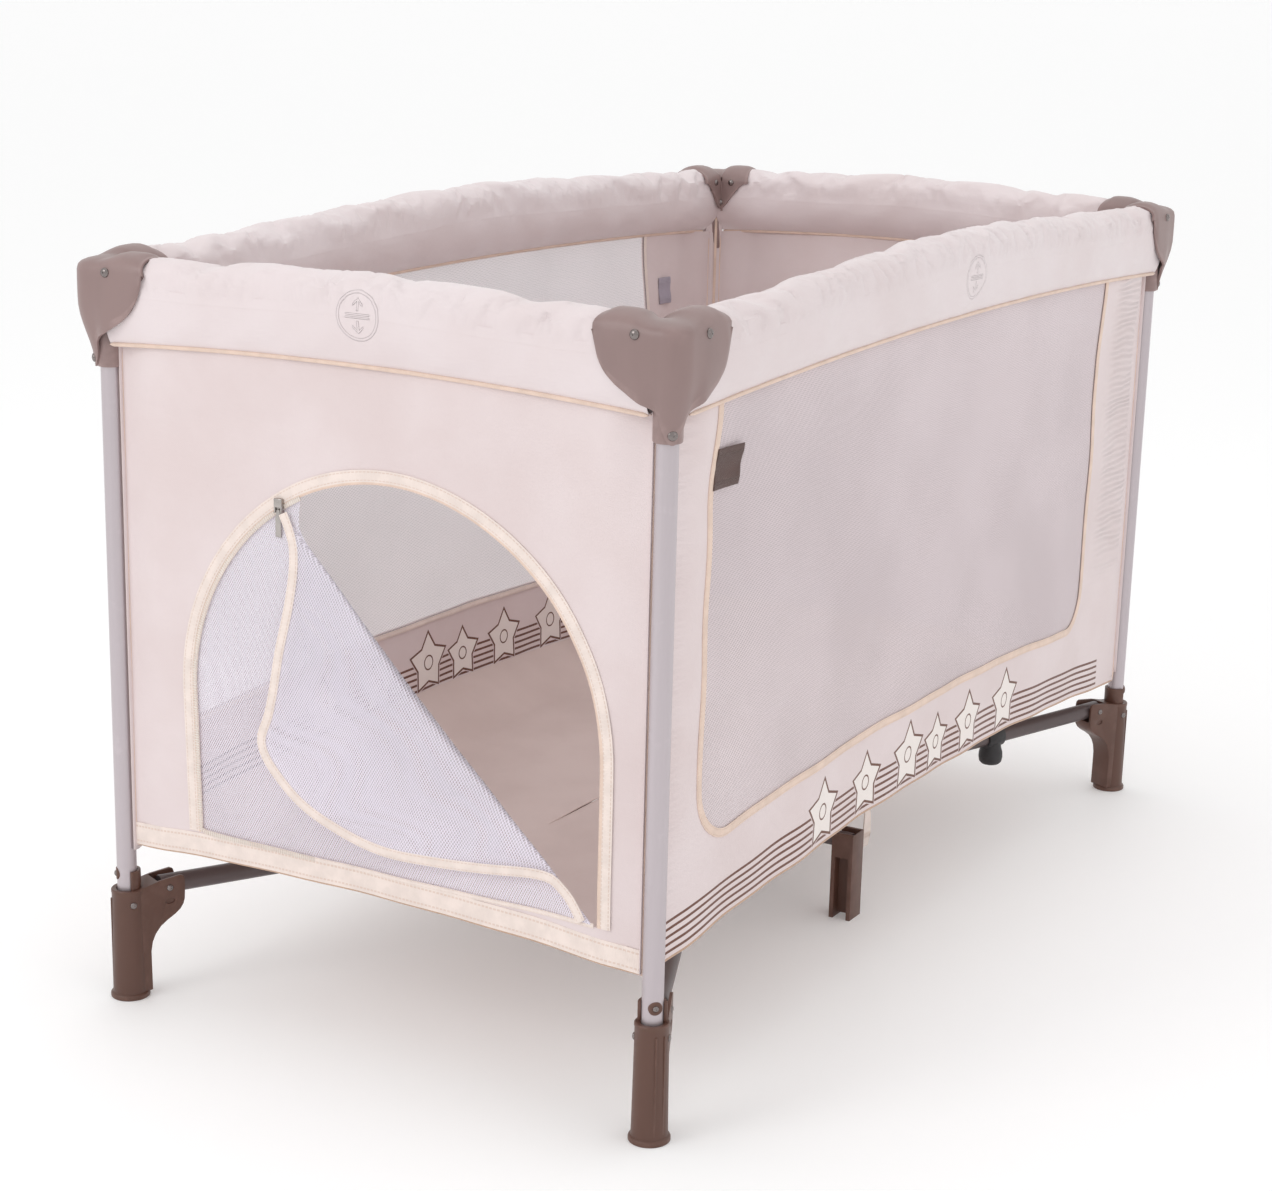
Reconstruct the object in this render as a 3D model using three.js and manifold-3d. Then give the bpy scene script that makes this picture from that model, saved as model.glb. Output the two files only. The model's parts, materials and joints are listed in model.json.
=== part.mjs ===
// Folding travel playpen: four corner posts joined by hinged top rails and by
// a lifting base hub, with fabric walls, a zipped side door and a fabric floor.
// Millimetres, +Z up, origin on the floor under the middle of the playpen.
// The door is on the left end (-X) and the front long side is at -Y.
import * as THREE from 'three';
import { mergeVertices } from 'three/addons/utils/BufferGeometryUtils.js';
import Module from 'manifold-3d';

const wasm = await Module();
wasm.setup();

// ---- driving dimensions ----------------------------------------------------
const POST_X = 600;            // post axis from the middle, along the long side
const POST_Y = 306;            // post axis from the middle, along the short side
const OVER_CENTRE = THREE.MathUtils.degToRad(2.2);  // rest slope of rails and arms

const POST_RADIUS = 10;
const RAIL_RADIUS = 9.5;
const ARM_RADIUS = 10;
const MID_ARM_RADIUS = 9;
const TUBE_WALL = 1.4;
const PIN_RADIUS = 3;

const RAIL_PIVOT_Z = 732;      // height of the hinge pins in the corner covers
const RAIL_PIVOT_OUT = 34;     // hinge pin from the post axis
const ARM_PIVOT_Z = 112.5;     // height of the hinge pins in the feet
const ARM_PIVOT_OUT = 40;      // hinge pin from the post axis, along the arm
const HUB_PIVOT_X = 30;
const HUB_PIVOT_Y = 50;
const MID_PIVOT_Y = 38;        // hub hinge of the two short arms
const LEG_Y = 214;             // centre legs from the middle

const FOOT_OVER_HINGE = 4.5;   // column top over the arm's hinge pin
const WING_OVER_HINGE = 11.5;
const COLLAR_OVER_HINGE = 24.5;
const FOOT_WALL = 5.2;         // round the post's socket
const FOOT_TAPER = 1.5;        // column radius, base over top
const SOLE_FLARE = 2.5;        // sole radius over the column's base
const SOLE_HEIGHT = 5;
const WING_SKIN = 3;
const WING_END = 57;           // wing tip from the post axis
const SOCKET_DEPTH = 25;       // how far a post stands in its foot

const COVER_HALF_WIDTH = 26;
const COVER_SKIN = 3;
const COVER_OVER_HINGE = 31;   // crown over the rail's hinge pin
const COVER_REACH = 62;        // lobe tip from the post axis
const COVER_CROWN_DROP = 21;   // height of the rounded crown
const SKIRT_UNDER_HINGE = 59;
const BOSS_UNDER_HINGE = 87;
const POST_UNDER_HINGE = 18;   // end of the post inside its cover

const LATCH_SKIN = 3;
const LATCH_BEYOND_PIN = 10;
const BUTTON_RADIUS = 8;
const BUTTON_PROUD = 2.5;
const BUTTON_TRAVEL = 3;
const BUTTON_BASE = 4;         // housing left behind the button's bore

const HUB_HALF_X = 46;
const HUB_HALF_Y = 66;
const HUB_TOP_SKIN = 4;
const HUB_SKIRT = 14;          // hub below its hinge pins

const STRAP_HALF = 36;         // lifting strap, half its length
const STRAP_WIDTH = 25;
const STRAP_RISE = 14;
const WEBBING = 2;

const LEG_WIDTH = 28;
const LEG_DEPTH = 26;
const LEG_RIB = 5;

const SLEEVE_RADIUS = 19;
const WALL_INSET = 1;          // wall plane inside the post axes
const WALL_THICKNESS = 3;
const HEM_END_Z = 158;
const HEM_RISE_LONG = 30;
const HEM_RISE_SHORT = 13;
const FLOOR_OVER_HINGE = 36.5; // fabric floor over the arms' hinge pins
const FLOOR_THICKNESS = 3;

const DOOR_Y = -20;            // middle of the door arch
const DOOR_SIDE_STRIP = 55;    // narrowest wall left beside the door
const DOOR_UNDER_HINGE = 156;  // top of the arch under the rails' hinge pins
const DOOR_SILL_Z = 196;
const FLAP_FOLD_SLOPE = THREE.MathUtils.degToRad(44.25);
const FLAP_FOLD_OFFSET = 49.8; // fold of the open flap from the middle of the arch
const ZIP_Y = 105;             // where the slider stands on the arch

// ---- named clearances ------------------------------------------------------
const TOUCH_GAP = 0.3;         // between faces that meet
const PIN_GAP = 0.5;           // hinge pin in its hole
const TUBE_END = 6;            // tube past its hinge pin
const SWING_GAP = 0.8;         // round a tube end that swings in its channel
const SIDE_GAP = 1;            // beside a tube in its channel
const FABRIC_GAP = 2;          // fabric to frame and fabric to fabric
const SLEEVE_FROM_CORNER_PIN = 14;
const SLEEVE_FROM_LATCH_PIN = 20;
const FAR = 100;               // cutting blocks run this far past what they cut

// ---- worked out from the above ---------------------------------------------
// The arm's plan direction is found by repetition, because its hinge in the foot
// lies along that same direction.
function armPlan() {
  let x = 1, y = 0;
  for (let step = 0; step < 40; step += 1) {
    const dx = POST_X - HUB_PIVOT_X - ARM_PIVOT_OUT * x;
    const dy = POST_Y - HUB_PIVOT_Y - ARM_PIVOT_OUT * y;
    const span = Math.hypot(dx, dy);
    [x, y] = [dx / span, dy / span];
  }
  return { x, y };
}
const ARM = armPlan();
const ARM_SPAN_X = POST_X - HUB_PIVOT_X - ARM_PIVOT_OUT * ARM.x;
const ARM_SPAN_Y = POST_Y - HUB_PIVOT_Y - ARM_PIVOT_OUT * ARM.y;
const ARM_LENGTH = Math.hypot(ARM_SPAN_X, ARM_SPAN_Y) / Math.cos(OVER_CENTRE);
const HUB_Z = ARM_PIVOT_Z - ARM_LENGTH * Math.sin(OVER_CENTRE);
// The rails close the same loops as the arms, so their plan spans are the same.
const LONG_RAIL = ARM_SPAN_X / Math.cos(OVER_CENTRE);
const SHORT_RAIL = ARM_SPAN_Y / Math.cos(OVER_CENTRE);
const LONG_LATCH_PIN = POST_X - RAIL_PIVOT_OUT - ARM_SPAN_X;
const SHORT_LATCH_PIN = POST_Y - RAIL_PIVOT_OUT - ARM_SPAN_Y;
const FOOT_HEIGHT = ARM_PIVOT_Z + FOOT_OVER_HINGE;
const WING_TOP = ARM_PIVOT_Z + WING_OVER_HINGE;
const COLLAR_TOP = ARM_PIVOT_Z + COLLAR_OVER_HINGE;
const FLOOR_Z = ARM_PIVOT_Z + FLOOR_OVER_HINGE;
const COVER_TOP = RAIL_PIVOT_Z + COVER_OVER_HINGE;
const COVER_SKIRT_Z = RAIL_PIVOT_Z - SKIRT_UNDER_HINGE;
const COVER_BOSS_Z = RAIL_PIVOT_Z - BOSS_UNDER_HINGE;
const POST_TOP = RAIL_PIVOT_Z - POST_UNDER_HINGE;
const FOOT_TOP_RADIUS = POST_RADIUS + TOUCH_GAP + FOOT_WALL;
const FOOT_BASE_RADIUS = FOOT_TOP_RADIUS + FOOT_TAPER;
const SOLE_RADIUS = FOOT_BASE_RADIUS + SOLE_FLARE;
const COVER_BOSS_RADIUS = POST_RADIUS + TOUCH_GAP + COVER_SKIN;
const DOOR_RADIUS = POST_Y - Math.abs(DOOR_Y) - DOOR_SIDE_STRIP;
// The arch leaves its straight sides here.
const DOOR_SPRING_Z = RAIL_PIVOT_Z - DOOR_UNDER_HINGE - DOOR_RADIUS;
// The walls stop short of the covers' bosses and of each other.
const WALL_FROM_POST = Math.max(
  Math.sqrt((COVER_BOSS_RADIUS + FABRIC_GAP / 2) ** 2 - (WALL_INSET - WALL_THICKNESS / 2) ** 2),
  WALL_INSET + WALL_THICKNESS / 2 + FABRIC_GAP / 2,
);
// How far a tube's end reaches from its hinge pin as it swings.
const swingOf = (radius) => Math.hypot(TUBE_END, radius) + SWING_GAP;
const HUB_ROOF = swingOf(ARM_RADIUS);  // channel roof over the hub's hinge pins
const railTopZ = (length) => RAIL_PIVOT_Z + length * Math.sin(OVER_CENTRE);

const COLORS = {
  silver: new THREE.Color(0.70, 0.68, 0.70),
  armPaint: new THREE.Color(0.16, 0.14, 0.15),
  taupe: new THREE.Color(0.36, 0.28, 0.25),
  brown: new THREE.Color(0.22, 0.12, 0.09),
  ivory: new THREE.Color(0.84, 0.78, 0.74),
  mesh: new THREE.Color(0.82, 0.78, 0.82),
  black: new THREE.Color(0.06, 0.06, 0.06),
};
const finish = (color, roughness, metalness = 0) =>
  new THREE.MeshStandardMaterial({ color, roughness, metalness });

// ---- making and joining solids ---------------------------------------------
function toSolid(geometry) {
  const bare = geometry.clone();
  bare.deleteAttribute('normal');
  bare.deleteAttribute('uv');
  const merged = mergeVertices(bare, 1e-4);
  return new wasm.Manifold(new wasm.Mesh({
    numProp: 3,
    vertProperties: new Float32Array(merged.attributes.position.array),
    triVerts: new Uint32Array(merged.index.array),
  }));
}

function toGeometry(solid) {
  const { vertProperties, triVerts } = solid.getMesh();
  const geometry = new THREE.BufferGeometry();
  geometry.setAttribute('position', new THREE.BufferAttribute(new Float32Array(vertProperties), 3));
  geometry.setIndex(new THREE.BufferAttribute(new Uint32Array(triVerts), 1));
  geometry.computeVertexNormals();
  return geometry;
}

const join = (...solids) => solids.reduce((whole, piece) => whole.add(piece));
const cut = (whole, ...tools) => tools.reduce((left, tool) => left.subtract(tool), whole);

function block(x0, x1, y0, y1, z0, z1) {
  const geometry = new THREE.BoxGeometry(x1 - x0, y1 - y0, z1 - z0);
  geometry.translate((x0 + x1) / 2, (y0 + y1) / 2, (z0 + z1) / 2);
  return geometry;
}
const box = (...limits) => toSolid(block(...limits));

// Turns a geometry about Z, moves it and makes it a solid.
function turned(geometry, angle, at = [0, 0, 0]) {
  geometry.rotateZ(angle);
  geometry.translate(...at);
  return toSolid(geometry);
}

// A cylinder along Z from z0 to z1, with an optional other radius at the top.
function pillar(radius, z0, z1, topRadius = radius) {
  const geometry = new THREE.CylinderGeometry(topRadius, radius, z1 - z0, 20);
  geometry.rotateX(Math.PI / 2);
  geometry.translate(0, 0, (z0 + z1) / 2);
  return toSolid(geometry);
}

// A hinge pin or its hole: a cylinder along Y (or X) through one point.
const pinRod = (radius, halfLength) =>
  new THREE.CylinderGeometry(radius, radius, 2 * halfLength, 12);
const crossPin = (radius, at, halfLength, alongX = false) =>
  turned(pinRod(radius, halfLength), alongX ? Math.PI / 2 : 0, at);

// A plate cut to an outline in X and Y, from z0 to z1.
function plate(outline, z0, z1, curveSegments = 5) {
  const depth = z1 - z0;
  const geometry = new THREE.ExtrudeGeometry(outline, { depth, bevelEnabled: false, curveSegments });
  geometry.translate(0, 0, z0);
  return geometry;
}

// The same with the outline in X and Z, between two Y values.
function sidePlate(outline, y0, y1, curveSegments = 5) {
  const geometry = plate(outline, -y1, -y0, curveSegments);
  geometry.rotateX(Math.PI / 2);
  return geometry;
}

// The same with the outline in Y and Z, between two X values.
function endPlate(outline, x0, x1, curveSegments = 5) {
  const geometry = sidePlate(outline, -x1, -x0, curveSegments);
  geometry.rotateZ(Math.PI / 2);
  return geometry;
}

function polygon(points) {
  return new THREE.Shape(points.map(([x, y]) => new THREE.Vector2(x, y)));
}

// A round tube along +X, open at both ends.
function tube(radius, bore, x0, x1) {
  const ring = new THREE.Shape().absarc(0, 0, radius, 0, 2 * Math.PI, false);
  ring.holes.push(new THREE.Path().absarc(0, 0, bore, 0, 2 * Math.PI, true));
  const geometry = plate(ring, x0, x1, 8);
  geometry.rotateY(Math.PI / 2);
  return geometry;
}

// Turns a piece made for the front left corner into one for any corner.
function mirrored(geometry, x, y) {
  const copy = geometry.clone().applyMatrix4(new THREE.Matrix4().makeScale(x, y, 1));
  if (x * y < 0) {
    const index = copy.index.array;
    for (let i = 0; i < index.length; i += 3) {
      [index[i], index[i + 1]] = [index[i + 1], index[i]];
    }
  }
  copy.computeVertexNormals();
  return copy;
}

const playpen = new THREE.Group();
function addMesh(name, geometry, material, parent = playpen) {
  const mesh = new THREE.Mesh(geometry, material);
  mesh.name = name;
  parent.add(mesh);
  return mesh;
}

// A group whose +X runs from a point along a plan direction, tipped up by a slope.
function runFrom(point, yaw, slope) {
  const heading = new THREE.Group();
  heading.position.set(...point);
  heading.rotation.z = yaw;
  const tipped = new THREE.Group();
  tipped.rotation.y = -slope;
  heading.add(tipped);
  playpen.add(heading);
  return tipped;
}

// ---- frame tubes -----------------------------------------------------------
// A tube between two hinge pins that cross it along Y.
function pinnedTube(radius, span) {
  const body = toSolid(tube(radius, radius - TUBE_WALL, -TUBE_END, span + TUBE_END));
  const hole = PIN_RADIUS + PIN_GAP;
  return toGeometry(cut(
    body,
    crossPin(hole, [0, 0, 0], radius + 1),
    crossPin(hole, [span, 0, 0], radius + 1),
  ));
}

function postTube() {
  const geometry = tube(POST_RADIUS, POST_RADIUS - TUBE_WALL, FOOT_HEIGHT - SOCKET_DEPTH, POST_TOP);
  geometry.rotateY(-Math.PI / 2);
  return geometry;
}

// ---- foot: column, sole, wing with its channel, collar, socket and pin -------
function footGeometry() {
  const angle = Math.atan2(ARM.y, ARM.x);
  const column = join(
    pillar(FOOT_BASE_RADIUS, SOLE_HEIGHT - 1, FOOT_HEIGHT, FOOT_TOP_RADIUS),
    pillar(SOLE_RADIUS, 0, SOLE_HEIGHT),
  );
  const cheek = ARM_RADIUS + SIDE_GAP + WING_SKIN;
  const swing = swingOf(ARM_RADIUS);
  const tipZ = ARM_PIVOT_Z - swing - WING_SKIN;
  const rootZ = tipZ - 52;       // where the wing's underside leaves the column
  const side = new THREE.Shape();
  side.moveTo(0, SOLE_HEIGHT - 1);
  side.lineTo(FOOT_BASE_RADIUS + 1, SOLE_HEIGHT - 1);
  side.lineTo(FOOT_BASE_RADIUS, rootZ);
  side.bezierCurveTo(
    FOOT_BASE_RADIUS + 1, rootZ + 25, WING_END - 20, rootZ + 33, WING_END - 6, tipZ - 7,
  );
  side.quadraticCurveTo(WING_END - 2, tipZ - 3, WING_END, tipZ);
  side.lineTo(WING_END, WING_TOP - 3);
  side.lineTo(WING_END - 3, WING_TOP);
  side.lineTo(0, FOOT_HEIGHT);
  const wing = toSolid(sidePlate(side, -cheek, cheek));
  const collar = cut(
    pillar(POST_RADIUS + TOUCH_GAP + WING_SKIN, FOOT_HEIGHT - 1, COLLAR_TOP),
    box(-FAR, -2, -FAR, FAR, 0, COLLAR_TOP + FAR),
  );
  const channelHalf = ARM_RADIUS + SIDE_GAP;
  const channel = box(
    ARM_PIVOT_OUT - swing, WING_END + FAR, -channelHalf, channelHalf,
    ARM_PIVOT_Z - swing, WING_TOP + FAR,
  );
  const socket = pillar(
    POST_RADIUS + TOUCH_GAP, FOOT_HEIGHT - SOCKET_DEPTH - TOUCH_GAP, COLLAR_TOP + FAR,
  );
  const pin = crossPin(PIN_RADIUS, [ARM_PIVOT_OUT, 0, ARM_PIVOT_Z], cheek);
  const geometry = toGeometry(join(cut(join(column, wing, collar), channel, socket), pin));
  geometry.rotateZ(angle);
  return geometry;
}

// ---- corner cover: two crowned channels on a boss that caps the post ---------
function coverGeometry() {
  const bottom = COVER_SKIRT_Z - FAR;
  const crown = (halfWidth, top) => {
    const outline = new THREE.Shape();
    outline.moveTo(-halfWidth, bottom);
    outline.lineTo(halfWidth, bottom);
    outline.lineTo(halfWidth, top - COVER_CROWN_DROP);
    outline.absellipse(
      0, top - COVER_CROWN_DROP, halfWidth, COVER_CROWN_DROP, 0, Math.PI, false, 0,
    );
    return outline;
  };
  const plan = (halfWidth, reach) => {
    const outline = new THREE.Shape();
    outline.moveTo(-4, -halfWidth);
    outline.lineTo(reach, -halfWidth);
    outline.lineTo(reach, halfWidth);
    outline.lineTo(halfWidth, halfWidth);
    outline.lineTo(halfWidth, reach);
    outline.lineTo(-halfWidth, reach);
    outline.lineTo(-halfWidth, -4);
    outline.absarc(-4, -4, halfWidth - 4, Math.PI, 1.5 * Math.PI, false);
    return toSolid(plate(outline, bottom, COVER_TOP + FAR));
  };
  const body = (halfWidth, top, reach) => {
    const alongX = toSolid(endPlate(crown(halfWidth, top), -halfWidth, reach));
    const alongY = toSolid(sidePlate(crown(halfWidth, top), -halfWidth, reach));
    return join(alongX, alongY).intersect(plan(halfWidth, reach));
  };
  const inner = COVER_HALF_WIDTH - COVER_SKIN;
  const shell = cut(
    body(COVER_HALF_WIDTH, COVER_TOP, COVER_REACH),
    body(inner, COVER_TOP - COVER_SKIN, COVER_REACH + FAR),
  );
  // Everything under this lobed edge is cut off, once for each direction.
  const lobeZ = COVER_TOP - 17;
  const below = new THREE.Shape();
  below.moveTo(-FAR, bottom - FAR);
  below.lineTo(-FAR, COVER_SKIRT_Z);
  below.lineTo(-10, COVER_SKIRT_Z);
  below.bezierCurveTo(
    35, COVER_SKIRT_Z + 3, COVER_REACH - 5, COVER_SKIRT_Z + 31, COVER_REACH + 0.5, lobeZ,
  );
  below.lineTo(COVER_REACH + FAR, lobeZ);
  below.lineTo(COVER_REACH + FAR, bottom - FAR);
  const lobes = cut(
    shell,
    toSolid(sidePlate(below, -FAR, FAR)),
    toSolid(endPlate(below, -FAR, FAR)),
  );
  const boss = pillar(COVER_BOSS_RADIUS, COVER_BOSS_Z, COVER_TOP - COVER_SKIN + 1);
  const rib = turned(
    block(3 - COVER_HALF_WIDTH * 0.85, 0, -1.5, 1.5, COVER_SKIRT_Z, COVER_TOP - 14), Math.PI / 4,
  );
  const bore = pillar(POST_RADIUS + TOUCH_GAP, COVER_BOSS_Z - FAR, POST_TOP + TOUCH_GAP);
  const reach = COVER_HALF_WIDTH - COVER_SKIN / 2;
  return toGeometry(join(
    cut(join(lobes, boss, rib), bore),
    crossPin(PIN_RADIUS, [RAIL_PIVOT_OUT, 0, RAIL_PIVOT_Z], reach),
    crossPin(PIN_RADIUS, [0, RAIL_PIVOT_OUT, RAIL_PIVOT_Z], reach, true),
  ));
}

// ---- centre latch of a top rail ----------------------------------------------
// Rails swing up out of it, so it is open at the top beyond the middle block.
function latchGeometry(pinOut) {
  const half = RAIL_RADIUS + SIDE_GAP + LATCH_SKIN;
  const swing = swingOf(RAIL_RADIUS);
  const length = pinOut + LATCH_BEYOND_PIN;
  const floorZ = -swing - LATCH_SKIN;
  const middle = pinOut - swing;
  const outline = new THREE.Shape();
  const round = 4;
  outline.moveTo(-half + round, floorZ);
  outline.lineTo(half - round, floorZ);
  outline.absarc(half - round, floorZ + round, round, -Math.PI / 2, 0, false);
  outline.lineTo(half, half - round);
  outline.absarc(half - round, half - round, round, 0, Math.PI / 2, false);
  outline.lineTo(-half + round, half);
  outline.absarc(-half + round, half - round, round, Math.PI / 2, Math.PI, false);
  outline.lineTo(-half, floorZ + round);
  outline.absarc(-half + round, floorZ + round, round, Math.PI, 1.5 * Math.PI, false);
  const body = toSolid(endPlate(outline, -length, length, 2));
  const channelHalf = RAIL_RADIUS + SIDE_GAP;
  const buttonBore = new THREE.CylinderGeometry(
    BUTTON_RADIUS + TOUCH_GAP, BUTTON_RADIUS + TOUCH_GAP, FAR, 16,
  );
  buttonBore.translate(0, half - BUTTON_BASE - FAR / 2, 0);
  return toGeometry(join(
    cut(
      body,
      box(-length - 1, -middle, -channelHalf, channelHalf, -swing, half + 1),
      box(middle, length + 1, -channelHalf, channelHalf, -swing, half + 1),
      toSolid(buttonBore),
    ),
    crossPin(PIN_RADIUS, [-pinOut, 0, 0], half - 0.5),
    crossPin(PIN_RADIUS, [pinOut, 0, 0], half - 0.5),
  ));
}

function buttonGeometry() {
  const half = RAIL_RADIUS + SIDE_GAP + LATCH_SKIN;
  const inner = half - BUTTON_BASE - BUTTON_TRAVEL - 1;
  const profile = [
    [0, -inner], [BUTTON_RADIUS, -inner], [BUTTON_RADIUS, half + BUTTON_PROUD - 1.5],
    [BUTTON_RADIUS - 1.5, half + BUTTON_PROUD], [0, half + BUTTON_PROUD - 0.6],
  ];
  const geometry = new THREE.LatheGeometry(profile.map(([r, y]) => new THREE.Vector2(r, y)), 16);
  geometry.rotateX(Math.PI);
  return geometry;
}

// ---- hub: a block with six channels open to the floor ------------------------
function hubGeometry() {
  const corner = 20;
  const body = toSolid(plate(polygon([
    [HUB_HALF_X - corner, -HUB_HALF_Y], [HUB_HALF_X, -HUB_HALF_Y + corner],
    [HUB_HALF_X, HUB_HALF_Y - corner], [HUB_HALF_X - corner, HUB_HALF_Y],
    [-HUB_HALF_X + corner, HUB_HALF_Y], [-HUB_HALF_X, HUB_HALF_Y - corner],
    [-HUB_HALF_X, -HUB_HALF_Y + corner], [-HUB_HALF_X + corner, -HUB_HALF_Y],
  ]), -HUB_SKIRT, HUB_ROOF + HUB_TOP_SKIN));
  const armSwing = swingOf(ARM_RADIUS);
  const midSwing = swingOf(MID_ARM_RADIUS);
  const channels = [], pins = [];
  for (const x of [-1, 1]) {
    for (const y of [-1, 1]) {
      const turn = Math.atan2(y * ARM.y, x * ARM.x);
      const at = [x * HUB_PIVOT_X, y * HUB_PIVOT_Y, 0];
      const half = ARM_RADIUS + SIDE_GAP;
      channels.push(turned(block(-armSwing, FAR, -half, half, -FAR, HUB_ROOF), turn, at));
      pins.push(turned(pinRod(PIN_RADIUS, half + 2), turn, at));
    }
  }
  for (const y of [-1, 1]) {
    const half = MID_ARM_RADIUS + SIDE_GAP / 2;
    const at = [0, y * MID_PIVOT_Y, 0];
    const turn = (y * Math.PI) / 2;
    channels.push(turned(block(-midSwing, FAR, -half, half, -FAR, HUB_ROOF), turn, at));
    pins.push(turned(pinRod(PIN_RADIUS, half + 2), turn, at));
  }
  return toGeometry(join(cut(body, ...channels), ...pins));
}

// ---- centre leg: an H column under a fork that opens up and towards the hub ---
function legGeometry() {
  const half = MID_ARM_RADIUS + SIDE_GAP / 2;
  const swing = swingOf(MID_ARM_RADIUS);
  const forkFloor = HUB_Z - swing;
  const forkTop = HUB_Z + MID_ARM_RADIUS + 2;
  const column = box(-LEG_WIDTH / 2, LEG_WIDTH / 2, -LEG_DEPTH / 2, LEG_DEPTH / 2, 0, forkTop);
  const recessTop = forkFloor - 6;
  const recess = LEG_DEPTH / 2 - LEG_RIB;
  const web = LEG_RIB / 2;
  const notch = 4;               // under the web, between the two ribs
  return toGeometry(join(
    cut(
      column,
      box(-half, half, -swing, FAR, forkFloor, forkTop + FAR),
      box(web, FAR, -recess, recess, -FAR, recessTop),
      box(-FAR, -web, -recess, recess, -FAR, recessTop),
      box(-FAR, FAR, -recess, recess, -FAR, notch),
    ),
    crossPin(PIN_RADIUS, [0, 0, HUB_Z], half + 2, true),
  ));
}

// ---- fabric solids -----------------------------------------------------------
// A wall's lower edge rises to the middle as a flat arch and its top follows the rails.
function wallOutline(halfLength, postOut, hemRise, length) {
  const steps = 10;
  const points = [];
  for (let i = 0; i <= steps; i += 1) {
    const x = -halfLength + (2 * halfLength * i) / steps;
    points.push([x, HEM_END_Z + hemRise * (1 - (x / halfLength) ** 2)]);
  }
  const under = SLEEVE_RADIUS + FABRIC_GAP;
  const slope = Math.tan(OVER_CENTRE);
  const endZ = RAIL_PIVOT_Z + (postOut - RAIL_PIVOT_OUT - halfLength) * slope - under;
  const middle = postOut - RAIL_PIVOT_OUT - length * Math.cos(OVER_CENTRE);
  const midZ = railTopZ(length) - Math.max(under, swingOf(RAIL_RADIUS) + LATCH_SKIN + FABRIC_GAP);
  points.push([halfLength, endZ], [middle + LATCH_BEYOND_PIN + FABRIC_GAP, midZ]);
  points.push([-middle - LATCH_BEYOND_PIN - FABRIC_GAP, midZ], [-halfLength, endZ]);
  return polygon(points);
}

function doorOutline(radius, sill) {
  const outline = new THREE.Shape();
  outline.moveTo(DOOR_Y - radius, sill);
  outline.lineTo(DOOR_Y + radius, sill);
  outline.lineTo(DOOR_Y + radius, DOOR_SPRING_Z);
  outline.absarc(DOOR_Y, DOOR_SPRING_Z, radius, 0, Math.PI, false);
  return outline;
}

function buildWalls() {
  const cloth = finish(COLORS.ivory, 0.9);
  const longHalf = POST_X - WALL_FROM_POST;
  const shortHalf = POST_Y - WALL_FROM_POST;
  const longWall = () => sidePlate(
    wallOutline(longHalf, POST_X, HEM_RISE_LONG, LONG_RAIL), -WALL_THICKNESS / 2, WALL_THICKNESS / 2,
  );
  const shortWall = () => endPlate(
    wallOutline(shortHalf, POST_Y, HEM_RISE_SHORT, SHORT_RAIL), -WALL_THICKNESS / 2, WALL_THICKNESS / 2,
  );
  addMesh('wall_front', longWall(), cloth).position.y = -POST_Y + WALL_INSET;
  addMesh('wall_rear', longWall(), cloth).position.y = POST_Y - WALL_INSET;
  addMesh('wall_right', shortWall(), cloth).position.x = POST_X - WALL_INSET;
  const arch = toSolid(endPlate(doorOutline(DOOR_RADIUS, DOOR_SILL_Z), -FAR, FAR, 16));
  const doorWall = toGeometry(cut(toSolid(shortWall()), arch));
  addMesh('wall_left_with_door', doorWall, cloth).position.x = -POST_X + WALL_INSET;
  // The open flap keeps only what lies under its fold line.
  const half = WALL_THICKNESS / 2;
  const inner = toSolid(endPlate(
    doorOutline(DOOR_RADIUS - FABRIC_GAP, DOOR_SILL_Z + FABRIC_GAP), -half, half, 16,
  ));
  const foldZ = (y) => DOOR_SPRING_Z + FLAP_FOLD_OFFSET / Math.cos(FLAP_FOLD_SLOPE)
    + (y - DOOR_Y) * Math.tan(FLAP_FOLD_SLOPE);
  const y0 = DOOR_Y - 2 * DOOR_RADIUS, y1 = DOOR_Y + 2 * DOOR_RADIUS;
  const open = toSolid(endPlate(
    polygon([[y0, foldZ(y0)], [y1, foldZ(y1)], [y0, foldZ(y1)]]), -FAR, FAR,
  ));
  addMesh('door_flap', toGeometry(cut(inner, open)), finish(COLORS.mesh, 0.9))
    .position.x = -POST_X + WALL_INSET;
}

function buildFloor() {
  const cloth = finish(COLORS.ivory, 0.95);
  const x1 = POST_X - WALL_INSET - WALL_THICKNESS - FABRIC_GAP;
  const y1 = POST_Y - WALL_INSET - WALL_THICKNESS - FABRIC_GAP;
  const gap = TOUCH_GAP, nip = 8;
  const quarter = polygon([[gap, gap], [x1, gap], [x1, y1 - nip], [x1 - nip, y1], [gap, y1]]);
  for (const [name, x, y] of CORNERS) {
    const geometry = mirrored(
      toGeometry(toSolid(plate(quarter, FLOOR_Z, FLOOR_Z + FLOOR_THICKNESS))), x, y,
    );
    addMesh(`floor_${name}`, geometry, cloth);
  }
}

// ---- corners: post, foot, cover and arm ---------------------------------------
const CORNERS = [
  ['front_left', -1, -1], ['front_right', 1, -1], ['rear_right', 1, 1], ['rear_left', -1, 1],
];

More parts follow.
